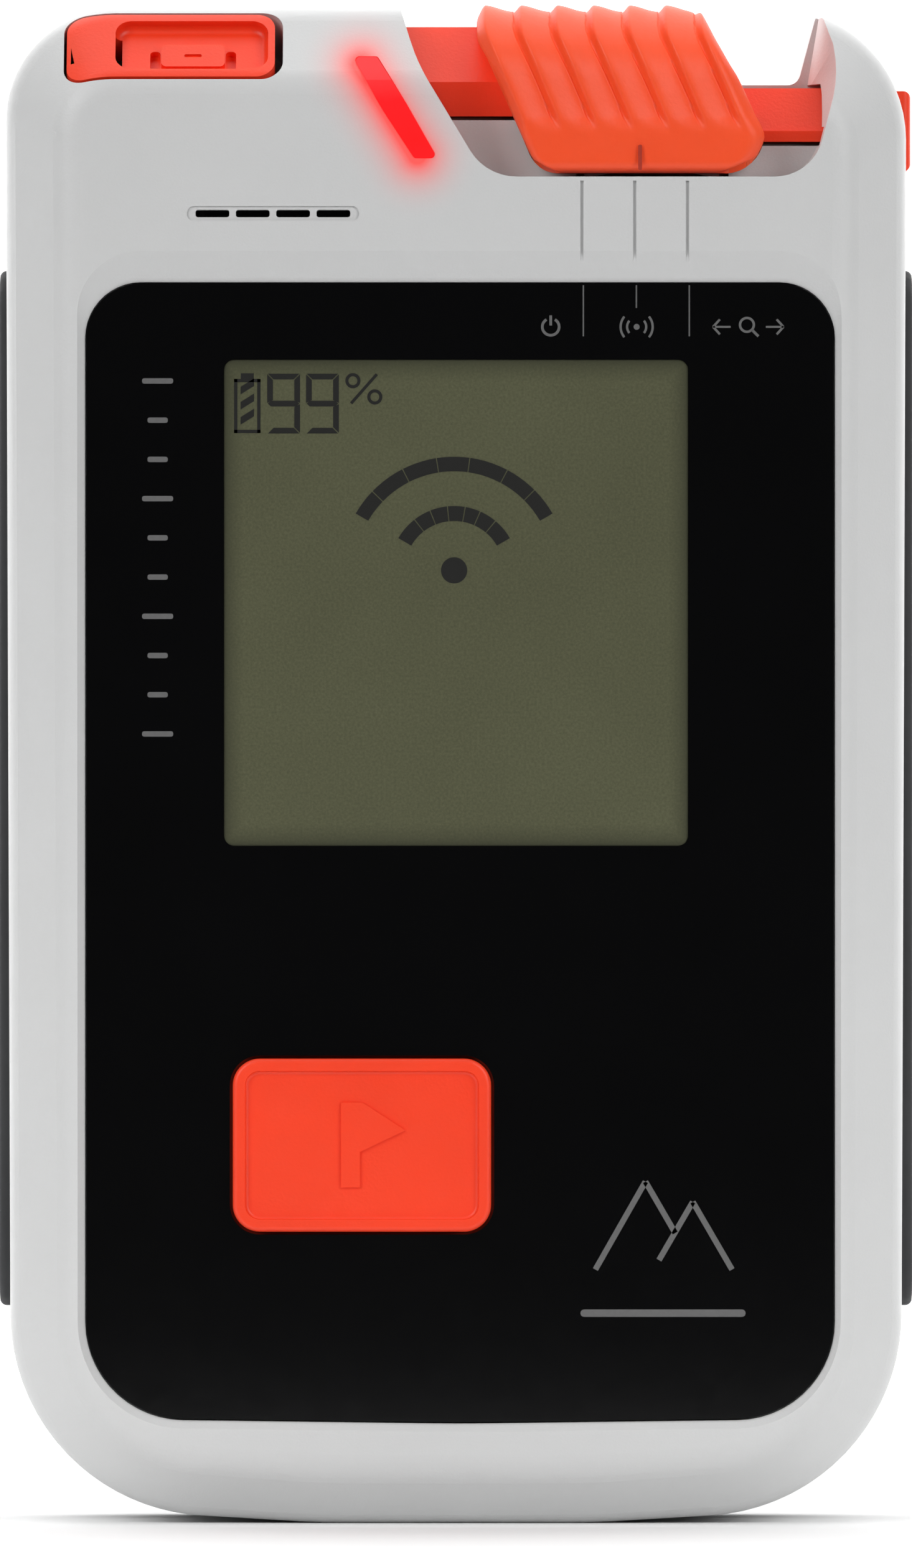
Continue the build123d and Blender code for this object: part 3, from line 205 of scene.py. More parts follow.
def plastic(name, colour, spread, roughness, grain, grain_depth, coat=0.0):
    """Moulded plastic: slight mottling, uneven gloss and a fine eroded texture."""
    mat, shade = shader(name, roughness, coat=coat)
    low = tuple(c * (1 - spread) for c in colour)
    high = tuple(min(c * (1 + spread), 1.0) for c in colour)
    link(mat, ramp(mat, noise(mat, 90.0, 3.0), [(0.3, low), (0.7, high)]), shade.inputs["Base Color"])
    uneven = remap(mat, noise(mat, 700.0, 5.0), to_min=roughness * 0.88, to_max=min(roughness * 1.15, 1.0))
    link(mat, uneven, shade.inputs["Roughness"])
    bump(mat, shade, noise(mat, grain, 2.0), 0.35, grain_depth)
    return mat


def metal(name, colour, roughness, scratch=2500.0):
    """Bare metal with fine uneven gloss."""
    mat, shade = shader(name, roughness, metallic=1.0)
    low = tuple(c * 0.88 for c in colour)
    link(mat, ramp(mat, noise(mat, 400.0), [(0.35, low), (0.65, colour)]), shade.inputs["Base Color"])
    uneven = remap(mat, noise(mat, scratch, 3.0), to_min=roughness * 0.75, to_max=roughness * 1.3)
    link(mat, uneven, shade.inputs["Roughness"])
    bump(mat, shade, noise(mat, scratch, 2.0), 0.15, 0.00003)
    return mat


def glow_line(mat, start, end):
    """Distance in millimetres from a line between two points in X and Z."""
    def vector(operation, first, second=None):
        node = add(mat, "ShaderNodeVectorMath")
        node.operation = operation
        for socket, value in zip(node.inputs, (first, second)):
            if isinstance(value, tuple):
                socket.default_value = value
            elif value is not None:
                link(mat, value, socket)
        return node.outputs["Value" if operation in ("DOT_PRODUCT", "LENGTH") else "Vector"]

    along = tuple((b - a) * MM for a, b in zip(start, end))
    length2 = sum(v * v for v in along)
    flat = vector("MULTIPLY", coords(mat), (1.0, 0.0, 1.0))
    away = vector("SUBTRACT", flat, tuple(v * MM for v in start))
    share = maths(mat, "DIVIDE", vector("DOT_PRODUCT", away, along), length2, clamp=True)
    nearest = add(mat, "ShaderNodeVectorMath")
    nearest.operation = "SCALE"
    nearest.inputs[0].default_value = along
    link(mat, share, nearest.inputs["Scale"])
    gap = vector("LENGTH", vector("SUBTRACT", away, nearest.outputs["Vector"]))
    return maths(mat, "MULTIPLY", gap, 1 / MM)


def falloff(mat, distance, reach, power):
    """One at the line, fading to nothing with distance."""
    share = maths(mat, "SUBTRACT", 1.0, maths(mat, "DIVIDE", distance, reach), clamp=True)
    return maths(mat, "POWER", share, power)


# the red glow of the light strip, painted into the shell's colour and emission: how far it reaches, how
# fast it fades, how far back on the shell it goes, and its line's two ends from the strip's own ends
GLOW_REACH = 5.4
GLOW_POWER = 3.2
GLOW_BACK_Y = -7.6
GLOW_TOP = (-0.5, -0.6)
GLOW_LOW = (-0.35, 0.2)


def shell_white():
    """White satin shell with the red glow of the light strip painted into its colour and emission."""
    mat = plastic("shell_white", WHITE, 0.012, 0.42, 5200.0, 0.00004)
    shade = mat.node_tree.nodes["Principled BSDF"]
    distance = glow_line(mat, (LIGHT_TOP[0] + GLOW_TOP[0], 0.0, LIGHT_TOP[1] + GLOW_TOP[1]),
                         (LIGHT_LOW[0] + GLOW_LOW[0], 0.0, LIGHT_LOW[1] + GLOW_LOW[1]))
    facing = maths(mat, "LESS_THAN", coordinate(mat, "Y"), GLOW_BACK_Y * MM)
    # painted glow: red mixed into the base colour plus a faint red emission, strongest near the strip and
    # on the front only
    painted_glow = maths(mat, "MULTIPLY", falloff(mat, distance, GLOW_REACH, GLOW_POWER), facing)
    plain = shade.inputs["Base Color"].links[0].from_socket
    blend = add(mat, "ShaderNodeMix")
    blend.data_type = "RGBA"
    link(mat, maths(mat, "MULTIPLY", painted_glow, 1.5, clamp=True), blend.inputs[0])
    link(mat, plain, blend.inputs[6])
    blend.inputs[7].default_value = (0.9, 0.10, 0.09, 1.0)
    link(mat, blend.outputs[2], shade.inputs["Base Color"])
    shade.inputs["Emission Color"].default_value = (1.0, 0.10, 0.09, 1.0)
    link(mat, maths(mat, "MULTIPLY", painted_glow, 0.35), shade.inputs["Emission Strength"])
    return mat


def display_olive():
    """Display glass: olive, finely grained, and darker towards its edges by painted shade, as of the
    recess it sits in.
    """
    mat, shade = shader("display_olive", 0.42, coat=0.25, coat_roughness=0.25)

    def edge(axis, index, reach):
        """0 at the display's two edges across an axis, 1 from the reach inwards."""
        value = coordinate(mat, axis)
        first = maths(mat, "SUBTRACT", value, LCD_SHOWN[index][0] * MM)
        second = maths(mat, "SUBTRACT", LCD_SHOWN[index][1] * MM, value)
        return maths(mat, "DIVIDE", maths(mat, "MINIMUM", first, second), reach * MM, clamp=True)

    # painted shade: the display fades to a near-black olive towards its edges, as in the shade of its
    # recess
    inside = maths(mat, "MINIMUM", edge("X", 0, 1.5), edge("Z", 1, 1.7))
    painted_edge_shade = maths(mat, "POWER", inside, 0.55)
    grain = noise(mat, 5200.0, 3.0, 0.7)
    cloud = noise(mat, 60.0, 2.0)
    mixed = maths(mat, "ADD", maths(mat, "MULTIPLY", grain, 0.7), maths(mat, "MULTIPLY", cloud, 0.3))
    grainy = ramp(mat, mixed, [(0.3, (0.056, 0.058, 0.029)), (0.5, (0.078, 0.081, 0.041)),
                               (0.7, (0.103, 0.107, 0.057))])
    blend = add(mat, "ShaderNodeMix")
    blend.data_type = "RGBA"
    link(mat, painted_edge_shade, blend.inputs[0])
    blend.inputs[6].default_value = (0.026, 0.028, 0.013, 1.0)
    link(mat, grainy, blend.inputs[7])
    link(mat, blend.outputs[2], shade.inputs["Base Color"])
    bump(mat, shade, grain, 0.25, 0.00002)
    return mat


def light_red():
    """Lit red strip, brighter in its lower two thirds."""
    mat, shade = shader("lens_red", 0.45)
    shade.inputs["Specular IOR Level"].default_value = 0.2
    link(mat, ramp(mat, noise(mat, 250.0), [(0.3, (0.20, 0.004, 0.004)), (0.7, (0.26, 0.006, 0.006))]),
         shade.inputs["Base Color"])
    height = remap(mat, coordinate(mat, "Z"), from_min=LIGHT_LOW[1] * MM, from_max=LIGHT_TOP[1] * MM)
    uneven = maths(mat, "ADD", height, maths(mat, "MULTIPLY", noise(mat, 500.0), 0.12))
    tint = ramp(mat, uneven, [(0.0, (0.80, 0.008, 0.012)), (0.22, (1.0, 0.006, 0.008)),
                              (0.62, (1.0, 0.008, 0.012)), (0.95, (0.82, 0.045, 0.05))])
    link(mat, tint, shade.inputs["Emission Color"])
    shade.inputs["Emission Strength"].default_value = 0.95
    bump(mat, shade, noise(mat, 900.0), 0.2, 0.00005)
    return mat


def orange(name, colour, roughness, grain, depth, coat=0.0):
    """Orange plastic with a little light inside it."""
    mat = plastic(name, colour, 0.035, roughness, grain, depth, coat)
    shade = mat.node_tree.nodes["Principled BSDF"]
    shade.inputs["Subsurface Weight"].default_value = 0.12
    shade.inputs["Subsurface Radius"].default_value = (0.0012, 0.0004, 0.0002)
    shade.inputs["Subsurface Scale"].default_value = 1.0
    return mat


def rubber(name, colour, pitch):
    """Soft pads with a fine moulded dot pattern."""
    mat, shade = shader(name, 0.72)
    dots = add(mat, "ShaderNodeTexVoronoi")
    dots.inputs["Scale"].default_value = 1.0 / (pitch * MM)
    dots.inputs["Randomness"].default_value = 0.15
    link(mat, coords(mat), dots.inputs["Vector"])
    tint = ramp(mat, noise(mat, 120.0), [(0.3, tuple(c * 0.8 for c in colour)), (0.7, colour)])
    link(mat, tint, shade.inputs["Base Color"])
    bump(mat, shade, dots.outputs["Distance"], 0.5, 0.00012)
    return mat


def board_material():
    """Green solder mask with copper tracks under it."""
    mat, shade = shader("board_green", 0.35, coat=0.3)
    tracks = add(mat, "ShaderNodeTexBrick")
    tracks.inputs["Scale"].default_value = 260.0
    tracks.inputs["Color1"].default_value = (0.010, 0.085, 0.035, 1)
    tracks.inputs["Color2"].default_value = (0.014, 0.105, 0.045, 1)
    tracks.inputs["Mortar"].default_value = (0.03, 0.20, 0.09, 1)
    link(mat, coords(mat), tracks.inputs["Vector"])
    link(mat, tracks.outputs["Color"], shade.inputs["Base Color"])
    bump(mat, shade, tracks.outputs["Fac"], 0.2, 0.00005)
    return mat


def winding():
    """Enamelled copper wire, laid in fine turns."""
    mat, shade = shader("copper", 0.3, metallic=1.0)
    turns = add(mat, "ShaderNodeTexWave")
    turns.inputs["Scale"].default_value = 900.0
    turns.bands_direction = "DIAGONAL"
    link(mat, coords(mat), turns.inputs["Vector"])
    link(mat, ramp(mat, turns.outputs["Fac"], [(0.0, (0.35, 0.12, 0.05)), (1.0, (0.80, 0.36, 0.18))]),
         shade.inputs["Base Color"])
    bump(mat, shade, turns.outputs["Fac"], 0.6, 0.0001)
    return mat


def cell_jacket():
    """Battery jacket: dark sleeve with a coloured band at one end."""
    mat, shade = shader("cell_jacket", 0.32, coat=0.3)
    low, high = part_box("battery_1")
    height = remap(mat, coordinate(mat, "Z"), from_min=low.z, from_max=high.z)
    uneven = maths(mat, "ADD", height, maths(mat, "MULTIPLY", noise(mat, 300.0), 0.004))
    tint = ramp(mat, uneven, [(0.0, (0.55, 0.55, 0.56)), (0.03, (0.02, 0.022, 0.026)),
                              (0.74, (0.03, 0.032, 0.036)), (0.75, (0.60, 0.30, 0.10))])
    link(mat, tint, shade.inputs["Base Color"])
    bump(mat, shade, noise(mat, 1500.0), 0.1, 0.00003)
    return mat


def print_and_painted_shade(name, colour):
    """Flat colour with a slightly uneven edge of gloss: real print, and painted shade for the grip's index
    groove.
    """
    mat, shade = shader(name, 0.5)
    low = tuple(c * 0.9 for c in colour)
    link(mat, ramp(mat, noise(mat, 3000.0), [(0.3, low), (0.7, colour)]), shade.inputs["Base Color"])
    bump(mat, shade, noise(mat, 6000.0), 0.1, 0.00001)
    return mat


# ---- places read from the frame ----------------------------------------------------------
LCD_LOW, LCD_HIGH = (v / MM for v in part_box("lcd_glass"))
LCD_EDGE = 2.0
LCD_SHOWN = ((LCD_LOW.x + LCD_EDGE, LCD_HIGH.x - LCD_EDGE),
             (LCD_LOW.z + LCD_EDGE, LCD_HIGH.z - LCD_EDGE))
WINDOW_LOW, WINDOW_HIGH = (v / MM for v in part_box("display_window"))
LIGHT_LOW_BOX, LIGHT_HIGH_BOX = (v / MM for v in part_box("led_lens"))
LIGHT_HALF_W = 0.9
LIGHT_TOP = (LIGHT_LOW_BOX.x + LIGHT_HALF_W, LIGHT_HIGH_BOX.z)
LIGHT_LOW = (LIGHT_HIGH_BOX.x - LIGHT_HALF_W, LIGHT_LOW_BOX.z)
GRIP_LOW, GRIP_HIGH = (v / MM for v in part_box("slider_grip"))

WHITE = (0.61, 0.613, 0.613)
ORANGE = (0.90, 0.050, 0.012)
GRIP_ORANGE = (0.98, 0.085, 0.018)

MATERIALS = {
    "shell_white": shell_white(),
    "shell_grey": plastic("shell_grey", (0.040, 0.042, 0.045), 0.06, 0.55, 3600.0, 0.00008),
    "window_black": plastic("window_black", (0.0016, 0.0016, 0.0018), 0.10, 0.14, 900.0, 0.000004),
    "display_olive": display_olive(),
    "orange_plastic": orange("orange_plastic", ORANGE, 0.40, 4200.0, 0.00004),
    "orange_grip": orange("orange_grip", GRIP_ORANGE, 0.46, 3000.0, 0.00005),
    "lens_red": light_red(),
    "grip_rubber": rubber("grip_rubber", (0.035, 0.036, 0.038), 0.9),
    "seal_rubber": plastic("seal_rubber", (0.02, 0.02, 0.02), 0.1, 0.7, 2500.0, 0.00005),
    "inner_plastic": plastic("inner_plastic", (0.20, 0.20, 0.20), 0.04, 0.5, 2500.0, 0.00005),
    "board_green": board_material(),
    "chip_black": plastic("chip_black", (0.02, 0.02, 0.022), 0.1, 0.45, 3000.0, 0.00005),
    "steel": metal("steel", (0.58, 0.58, 0.60), 0.32),
    "nickel": metal("nickel", (0.70, 0.68, 0.64), 0.22),
    "copper": winding(),
    "ferrite": plastic("ferrite", (0.05, 0.05, 0.055), 0.12, 0.5, 2200.0, 0.0001),
    "mesh_black": plastic("mesh_black", (0.018, 0.018, 0.018), 0.3, 0.8, 2600.0, 0.0002),
    "cell_jacket": cell_jacket(),
}
for entry in frame["record"]["subparts"]:
    piece = NODES[entry["node"]]
    piece.data.materials.clear()
    piece.data.materials.append(MATERIALS[entry["material_slot"]])


def finish_piece(obj, material, body):
    """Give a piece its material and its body."""
    obj.data.materials.append(MATERIALS[material])
    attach(obj, body)
    return obj


# ---- outlines ----------------------------------------------------------------------------
def rounded_path(points, radii, turn=9.0):
    """A closed outline whose corners are arcs."""
    path = []
    count = len(points)
    for i, (point, r) in enumerate(zip(points, radii)):
        here = Vector(point)
        back = (Vector(points[i - 1]) - here).normalized()
        ahead = (Vector(points[(i + 1) % count]) - here).normalized()
        angle = back.angle(ahead)
        if r < 0.01 or angle > pi - 0.01:
            path.append(tuple(here))
            continue
        centre = here + (back + ahead).normalized() * (r / sin(angle / 2))
        cut = r / (sin(angle / 2) / cos(angle / 2))
        first = here + back * cut
        last = here + ahead * cut
        start = atan2(first.y - centre.y, first.x - centre.x)
        sweep = atan2(last.y - centre.y, last.x - centre.x) - start
        sweep = (sweep + pi) % (2 * pi) - pi
        steps = max(2, ceil(abs(sweep) / radians(turn)))
        for k in range(steps + 1):
            a = start + sweep * k / steps
            path.append((centre.x + r * cos(a), centre.y + r * sin(a)))
    return path


def ring_part(centre, inner, outer, start, end, step=4.0):
    """Outline of an arc with square ends, angles in degrees from straight up."""
    steps = max(2, ceil(abs(end - start) / step))
    angles = [radians(start + (end - start) * k / steps) for k in range(steps + 1)]
    out = [(centre[0] + outer * sin(a), centre[1] + outer * cos(a)) for a in angles]
    back = [(centre[0] + inner * sin(a), centre[1] + inner * cos(a)) for a in reversed(angles)]
    return out + back


def full_ring(centre, inner, outer):
    """Outline of a ring, open by a hair so that it stays one outline."""
    return ring_part(centre, inner, outer, 0, 359.9)


def disc(centre, r, steps=32):
    """Outline of a round dot."""
    return [(centre[0] + r * cos(2 * pi * k / steps), centre[1] + r * sin(2 * pi * k / steps))
            for k in range(steps)]


def stroke(a, b, width):
    """Outline of a straight line with a width."""
    along = (Vector(b) - Vector(a)).normalized() * (width / 2)
    side = Vector((-along.y, along.x))
    a, b = Vector(a), Vector(b)
    return [tuple(a + side), tuple(a - side), tuple(b - side), tuple(b + side)]


def rect(x, z):
    """Outline of a rectangle."""
    return [(x[0], z[0]), (x[1], z[0]), (x[1], z[1]), (x[0], z[1])]


def flat_marks(name, outlines, face_y, thickness, material, body="root"):
    """Flat marks that lie on a front face."""
    verts, faces = join([slab(o, face_y - thickness, face_y) for o in outlines])
    obj = mesh_object(name, verts, faces, smooth=False)
    return finish_piece(obj, material, body)


# ---- the thumb grip ----------------------------------------------------------------------
RIB_PITCH = 2.68
RIB_DEPTH = 0.55
RIB_RISE = 0.24
RIB_FADE_Z = (103.0, 104.4)
GRIP_SIDE_R = (0.7, 1.25)
GRIP_STATIONS = 220
SKIRT_T = 3.5
STEP_Y = GRIP_LOW.y + 9.9
STEP_Z = GRIP_LOW.z + 4.4
CAP_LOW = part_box("front_housing")[1].z / MM - 5.15
GRIP_MARK_X = (GRIP_LOW.x + 11.92, GRIP_LOW.x + 12.2)


def grip_front():
    """Outline of the grip from the front, as the frame's grip has it."""
    base, top = GRIP_LOW.z, GRIP_HIGH.z + 0.5
    left, right = GRIP_LOW.x, GRIP_HIGH.x
    points = [(left, top), (left, GRIP_HIGH.z - 1.85), (left + 4.51, base), (left + 20.66, base),
              (right, base + 2.7), (left + 16.61, top)]
    return rounded_path(points, [0.0, 3.5, 2.4, 3.0, 0.9, 0.0], 6.0)


def edge_at(path, z, side):
    """Where the outline's left or right edge stands at a height."""
    z = max(z, min(p[1] for p in path) + 1e-4)
    hits = []
    for (x0, z0), (x1, z1) in zip(path, path[1:] + path[:1]):
        if min(z0, z1) <= z <= max(z0, z1) and z0 != z1:
            hits.append(x0 + (x1 - x0) * (z - z0) / (z1 - z0))
    return min(hits) if side < 0 else max(hits)


def smooth_step(low, high, value):
    """0 below low, 1 above high and smooth between."""
    t = min(max((value - low) / (high - low), 0.0), 1.0)
    return t * t * (3 - 2 * t)


def resample(path, step):
    """Extra points along the long sides of a closed outline."""
    result = []
    for a, b in zip(path, path[1:] + path[:1]):
        length = hypot(b[0] - a[0], b[1] - a[1])
        parts = max(1, ceil(length / step))
        result += [(a[0] + (b[0] - a[0]) * k / parts, a[1] + (b[1] - a[1]) * k / parts)
                   for k in range(parts)]
    return result


def grip_section():
    """The grip's section in Y and Z: a skirt in front and a cap over the top."""
    base, top, front, back = GRIP_LOW.z, GRIP_HIGH.z, GRIP_LOW.y, GRIP_HIGH.y
    skirt_back = front + SKIRT_T
    points = [(front + 0.35, base), (skirt_back, base), (skirt_back, STEP_Z), (STEP_Y, STEP_Z),
              (STEP_Y, CAP_LOW), (back, CAP_LOW), (back, top), (front, top), (front, base + 4.0)]
    path = rounded_path(points, [1.0, 0.5, 0.0, 0.0, 0.0, 0.8, 3.5, 5.5, 4.0], 5.0)
    return resample(path, 0.35)


def outward(section):
    """The outward direction at each point of a closed section."""
    normals = []
    for i in range(len(section)):
        ahead, behind = Vector(section[(i + 1) % len(section)]), Vector(section[i - 1])
        tangent = (ahead - behind).normalized()
        normals.append(Vector((tangent.y, -tangent.x)))
    return normals


def grip_push(from_left, from_right, y, z):
    """How far the surface stands back at a place, for the ribs and the rounded sides."""
    on_cap = z > CAP_LOW + 0.4
    on_skirt = y < GRIP_LOW.y + SKIRT_T - 0.6 and z > GRIP_LOW.z + 0.02
    if not (on_cap or on_skirt):
        return 0.0
    phase = (from_left / RIB_PITCH) % 1.0
    height = 1.0 - 0.82 * smooth_step(0.22, 1.0, phase)
    if phase < RIB_RISE:
        height *= smooth_step(0.0, RIB_RISE, phase)
    fade_z = RIB_FADE_Z if y < -2.0 else (CAP_LOW + 0.5, CAP_LOW + 2.0)
    push = RIB_DEPTH * (1.0 - height) * smooth_step(*fade_z, z)
    for gap, r in zip((from_left, from_right), GRIP_SIDE_R):
        if gap < r:
            push += r - sqrt(max(r * r - (r - gap) ** 2, 0.0))
    return push


def slider_grip():
    """Ribbed thumb grip: its section carried from its left edge to its right."""
    section, outline = grip_section(), grip_front()
    normals = outward(section)
    n = len(section)
    verts, faces = [], []
    for k in range(GRIP_STATIONS + 1):
        u = k / GRIP_STATIONS
        for (y, z), normal in zip(section, normals):
            left, right = edge_at(outline, z, -1), edge_at(outline, z, 1)
            x = left + (right - left) * u
            push = grip_push(x - left, right - x, y, z)
            verts.append((x, y - normal.x * push, z - normal.y * push))
    for k in range(GRIP_STATIONS):
        for i in range(n):
            a, b = k * n + i, k * n + (i + 1) % n
            faces.append((a, b, b + n, a + n))
    faces.append(tuple(range(n)))
    faces.append(tuple(GRIP_STATIONS * n + i for i in reversed(range(n))))
    grip = mesh_object("thumb_grip", verts, faces)
    sharpen(grip, 50.0)
    finish_piece(grip, "orange_grip", "mode_slide")
    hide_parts("slider_grip")
    return grip


slider_grip()
# the grip's index mark stands for an engraved groove: its dark red is painted shade in the groove
MATERIALS["painted_groove_shade"] = print_and_painted_shade("painted_groove_shade", (0.42, 0.03, 0.012))
mark = rounded_path(rect(GRIP_MARK_X, (GRIP_LOW.z + 0.15, GRIP_LOW.z + 2.05)), [0.12] * 4, 30.0)
flat_marks("grip_index", [mark], GRIP_LOW.y + 0.02, 0.03, "painted_groove_shade", "mode_slide")

# ---- marks on the window -----------------------------------------------------------------
MATERIALS["print_grey"] = print_and_painted_shade("print_grey", (0.125, 0.125, 0.125))
FACE_Y = WINDOW_LOW.y
PRINT_T = 0.012
INDEX_X = tuple(WINDOW_HIGH.x - inset for inset in (18.49, 14.57, 10.66))
INDEX_LOW_Z = tuple(WINDOW_HIGH.z - drop for drop in (3.9, 1.8, 3.9))
INDEX_W = 0.1
SYMBOL_Z = WINDOW_HIGH.z - 3.2
OFF_X = WINDOW_HIGH.x - 20.9
SEND_X = WINDOW_HIGH.x - 14.55
SEARCH_X = WINDOW_HIGH.x - 6.4
SCALE_X = WINDOW_LOW.x + 5.25
SCALE_TOP_Z = WINDOW_HIGH.z - 7.2
SCALE_PITCH = 2.9
SIGN_X = WINDOW_HIGH.x - 12.6
SIGN_Z = WINDOW_HIGH.z - 76.4


def index_lines():
    """Thin lines that carry the switch positions on to the window."""
    lines = [rect((x - INDEX_W / 2, x + INDEX_W / 2), (low, WINDOW_HIGH.z - 0.12))
             for x, low in zip(INDEX_X, INDEX_LOW_Z)]
    return flat_marks("index_lines", lines, FACE_Y, PRINT_T, "print_grey")


def position_symbols():
    """Plain symbols for off, sending and searching."""
    z = SYMBOL_Z
    marks = [ring_part((OFF_X, z), 0.52, 0.72, 30, 330),
             rect((OFF_X - 0.1, OFF_X + 0.1), (z + 0.1, z + 0.85)),
             disc((SEND_X, z), 0.22)]
    for r in (0.62, 1.1):
        marks += [ring_part((SEND_X, z), r, r + 0.17, start, start + 80) for start in (50, 230)]
    marks += [full_ring((SEARCH_X, z + 0.15), 0.42, 0.6),
              stroke((SEARCH_X + 0.4, z - 0.25), (SEARCH_X + 0.85, z - 0.7), 0.2)]
    for side in (-1, 1):
        tip = SEARCH_X + 0.1 + side * 2.6
        marks += [stroke((tip, z), (tip - side * 0.5, z + 0.55), 0.17),
                  stroke((tip, z), (tip - side * 0.5, z - 0.55), 0.17),
                  stroke((tip, z), (tip - side * 1.3, z), 0.15)]
    return flat_marks("position_symbols", marks, FACE_Y, PRINT_T, "print_grey")


def side_scale():
    """A plain scale of ticks down the left of the window, each third one longer."""
    ticks = []
    for i in range(10):
        z = SCALE_TOP_Z - i * SCALE_PITCH
        half = 1.15 if i % 3 == 0 else 0.75
        tick = rect((SCALE_X - half, SCALE_X + half), (z - 0.2, z + 0.2))
        ticks.append(rounded_path(tick, [0.15] * 4, 30.0))
    return flat_marks("side_scale", ticks, FACE_Y, PRINT_T, "print_grey")


def peak_sign():
    """A plain sign of two peaks over a bar, low on the right."""
    marks = []
    for peak in (((-5.0, 3.5), (-1.3, 10.0), (0.9, 6.2)), ((-0.3, 4.2), (2.2, 8.5), (5.1, 3.5))):
        points = [(SIGN_X + x, SIGN_Z + z) for x, z in peak]
        marks += [stroke(a, b, 0.42) for a, b in zip(points, points[1:])]
    bar = rect((SIGN_X - 6.1, SIGN_X + 6.1), (SIGN_Z, SIGN_Z + 0.55))
    marks.append(rounded_path(bar, [0.25] * 4, 30.0))
    return flat_marks("peak_sign", marks, FACE_Y, PRINT_T, "print_grey")


index_lines()
position_symbols()
side_scale()
peak_sign()

# ---- what the display shows --------------------------------------------------------------
MATERIALS["segment_black"] = print_and_painted_shade("segment_black", (0.004, 0.004, 0.003))
GLASS_Y = LCD_LOW.y
LEVEL_X = LCD_LOW.x + 2.775
LEVEL_Z = LCD_HIGH.z - 7.45
SENDING_AT = (LCD_LOW.x + 19.035, LCD_HIGH.z - 17.6)


def battery_outlines():
    """Battery sign with three slanting bars."""
    left, right, low, high = LEVEL_X, LEVEL_X + 1.95, LEVEL_Z, LEVEL_Z + 4.0
    line = 0.24
    marks = [rect((left, left + line), (low, high)), rect((right - line, right), (low, high)),
             rect((left, right), (low, low + line)), rect((left, right), (high - line, high)),
             rect((left + 0.5, right - 0.5), (high, high + 0.42))]
    bar_left, bar_right = left + 0.48, right - 0.48
    for i in range(3):
        z = low + 0.62 + i * 1.12
        marks.append([(bar_left, z), (bar_right, z + 0.62), (bar_right, z + 1.18), (bar_left, z + 0.56)])
    return marks


def nine(x, z, width, height, t):
    """The six lit segments of a nine."""
    g = 0.05
    left, right = x + g, x + width - g
    mid, top = z + height / 2, z + height
    outlines = [
        [(left, top), (left + t, top - t), (right - t, top - t), (right, top)],
        [(left, mid), (left + t / 2, mid - t / 2), (right - t / 2, mid - t / 2), (right, mid),
         (right - t / 2, mid + t / 2), (left + t / 2, mid + t / 2)],
        [(left, z), (right, z), (right - t, z + t), (left + t, z + t)],
    ]
    uprights = ((x, t, mid + g, top - g), (x + width, -t, mid + g, top - g),
                (x + width, -t, z + g, mid - g))
    for out, inward, low, high in uprights:
        inner = out + inward
        cut_low = t / 2 if low > z + t else t
        cut_high = t if high > mid + t else t / 2
        outlines.append([(out, low), (inner, low + cut_low), (inner, high - cut_high), (out, high)])
    return outlines


def per_cent_outlines():
    """Per cent sign: two rings and a slanting line."""
    return [full_ring((LEVEL_X + 8.78, LEVEL_Z + 3.87), 0.33, 0.56),
            full_ring((LEVEL_X + 10.4, LEVEL_Z + 2.67), 0.33, 0.56),
            stroke((LEVEL_X + 8.65, LEVEL_Z + 2.2), (LEVEL_X + 10.55, LEVEL_Z + 4.35), 0.22)]


def sending_outlines():
    """A dot with two broken arcs over it."""
    marks = [disc(SENDING_AT, 0.97, 40)]
    for inner, outer, breaks in ((3.65, 4.76, (-60, -38, -22, -6, 10, 24, 40, 60)),
                                 (7.33, 8.4, (-60, -46, -27, -9, 8, 28, 45, 60))):
        gap = degrees(0.035 / ((inner + outer) / 2))
        for a, b in zip(breaks, breaks[1:]):
            start = a + (gap if a > breaks[0] else 0)
            end = b - (gap if b < breaks[-1] else 0)
            marks.append(ring_part(SENDING_AT, inner, outer, start, end))
    return marks


def display_marks():
    """Battery, level in per cent and the sending sign."""
    marks = battery_outlines()
    for step in (2.45, 5.32):
        marks += nine(LEVEL_X + step, LEVEL_Z - 0.03, 2.42, 4.42, 0.42)
    marks += per_cent_outlines() + sending_outlines()
    return flat_marks("display_marks", marks, GLASS_Y, 0.02, "segment_black")


display_marks()

# ---- studio ------------------------------------------------------------------------------
# metres
FRONT_Y = -0.0125
VIEW_H = 0.1159
VIEW_Z = 0.0548
VIEW_D = 1.5
SENSOR_H = 24.0
FLOOR_FRONT_Y = -0.14
FLOOR_HALF_W = 2.2
BACKDROP_Y = 0.55
BACKDROP_H = 1.6
BEND_R = 0.25
BEND_STEPS = 16
LIT_FROM_Y = 0.06
LIT_TO_Y = 0.28
WORLD_STRENGTH = 0.035


def camera():
    """Straight-on view of the front."""
    data = bpy.data.cameras.new("camera")
    data.sensor_fit = "VERTICAL"
    data.sensor_height = SENSOR_H
    data.lens = SENSOR_H * VIEW_D / VIEW_H
    data.clip_start = 0.01
    obj = bpy.data.objects.new("camera", data)
    obj.location = (0.0, FRONT_Y - VIEW_D, VIEW_Z)
    obj.rotation_euler = (pi / 2, 0.0, 0.0)
    bpy.context.scene.collection.objects.link(obj)
    bpy.context.scene.camera = obj


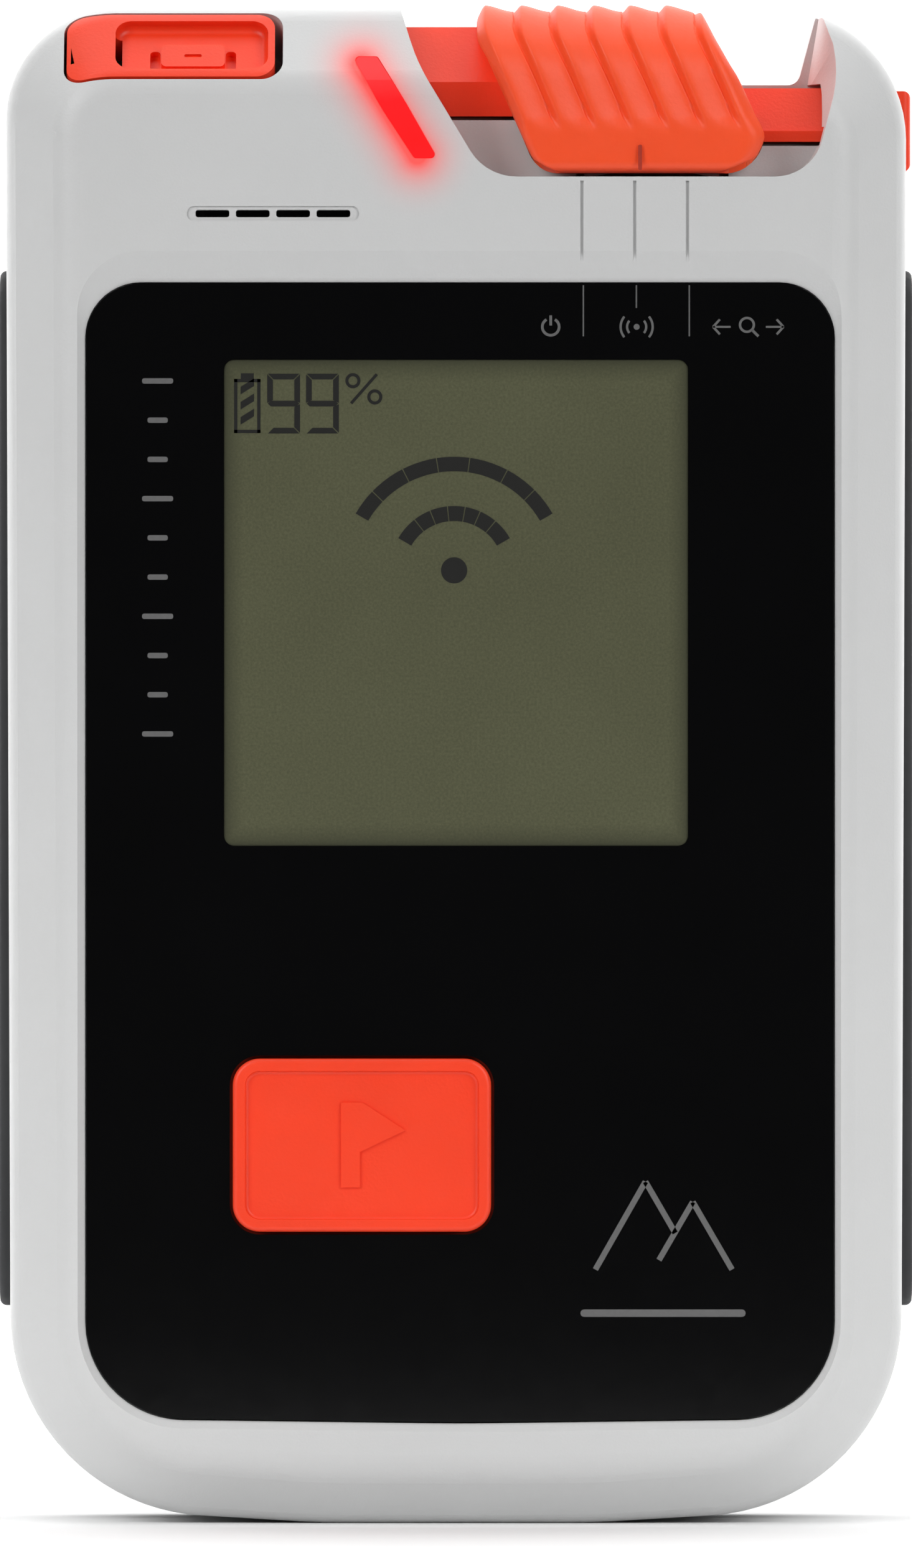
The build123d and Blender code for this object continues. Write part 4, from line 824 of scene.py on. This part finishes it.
def soft_light(name, where, aim, size, power):
    """A rectangular softbox."""
    data = bpy.data.lights.new(name, "AREA")
    data.shape = "RECTANGLE"
    data.size, data.size_y = size
    data.energy = power
    obj = bpy.data.objects.new(name, data)
    obj.location = where
    obj.rotation_euler = (Vector(aim) - Vector(where)).to_track_quat("-Z", "Y").to_euler()
    bpy.context.scene.collection.objects.link(obj)


def studio_white():
    """Matt white that glows towards the back, so that the backdrop needs no light of its own."""
    mat, shade = shader("studio_white", 0.9)
    link(mat, ramp(mat, noise(mat, 3.0), [(0.3, (0.93, 0.93, 0.93)), (0.7, (0.95, 0.95, 0.95))]),
         shade.inputs["Base Color"])
    shade.inputs["Specular IOR Level"].default_value = 0.1
    shade.inputs["Emission Color"].default_value = (1.0, 1.0, 1.0, 1.0)
    lit = remap(mat, coordinate(mat, "Y"), from_min=LIT_FROM_Y, from_max=LIT_TO_Y)
    link(mat, lit, shade.inputs["Emission Strength"])
    return mat


def studio():
    """Pale floor that runs up into a pale backdrop, and a dim even world."""
    bend = [(BACKDROP_Y - BEND_R + BEND_R * sin(a), BEND_R - BEND_R * cos(a))
            for a in (pi / 2 * k / BEND_STEPS for k in range(BEND_STEPS + 1))]
    profile = [(FLOOR_FRONT_Y, 0.0)] + bend + [(BACKDROP_Y, BACKDROP_H)]
    verts = [(x / MM, y / MM, z / MM) for y, z in profile for x in (-FLOOR_HALF_W, FLOOR_HALF_W)]
    faces = [(2 * i, 2 * i + 1, 2 * i + 3, 2 * i + 2) for i in range(len(profile) - 1)]
    floor = mesh_object("studio_floor", verts, faces)
    floor.data.materials.append(studio_white())
    world = bpy.data.worlds.new("studio")
    world.use_nodes = True
    background = world.node_tree.nodes["Background"]
    background.inputs["Color"].default_value = (1.0, 1.0, 1.0, 1.0)
    background.inputs["Strength"].default_value = WORLD_STRENGTH
    bpy.context.scene.world = world


camera()
studio()
soft_light("key", (-0.80, -0.95, 0.65), (0, 0, 0.05), (0.7, 0.9), 9.0)
soft_light("fill", (0.80, -0.95, 0.58), (0, 0, 0.05), (0.7, 0.9), 8.2)
soft_light("top", (0.0, 0.05, 1.1), (0, 0, 0.0), (1.2, 0.9), 7.0)
bpy.context.scene.view_settings.view_transform = "Standard"
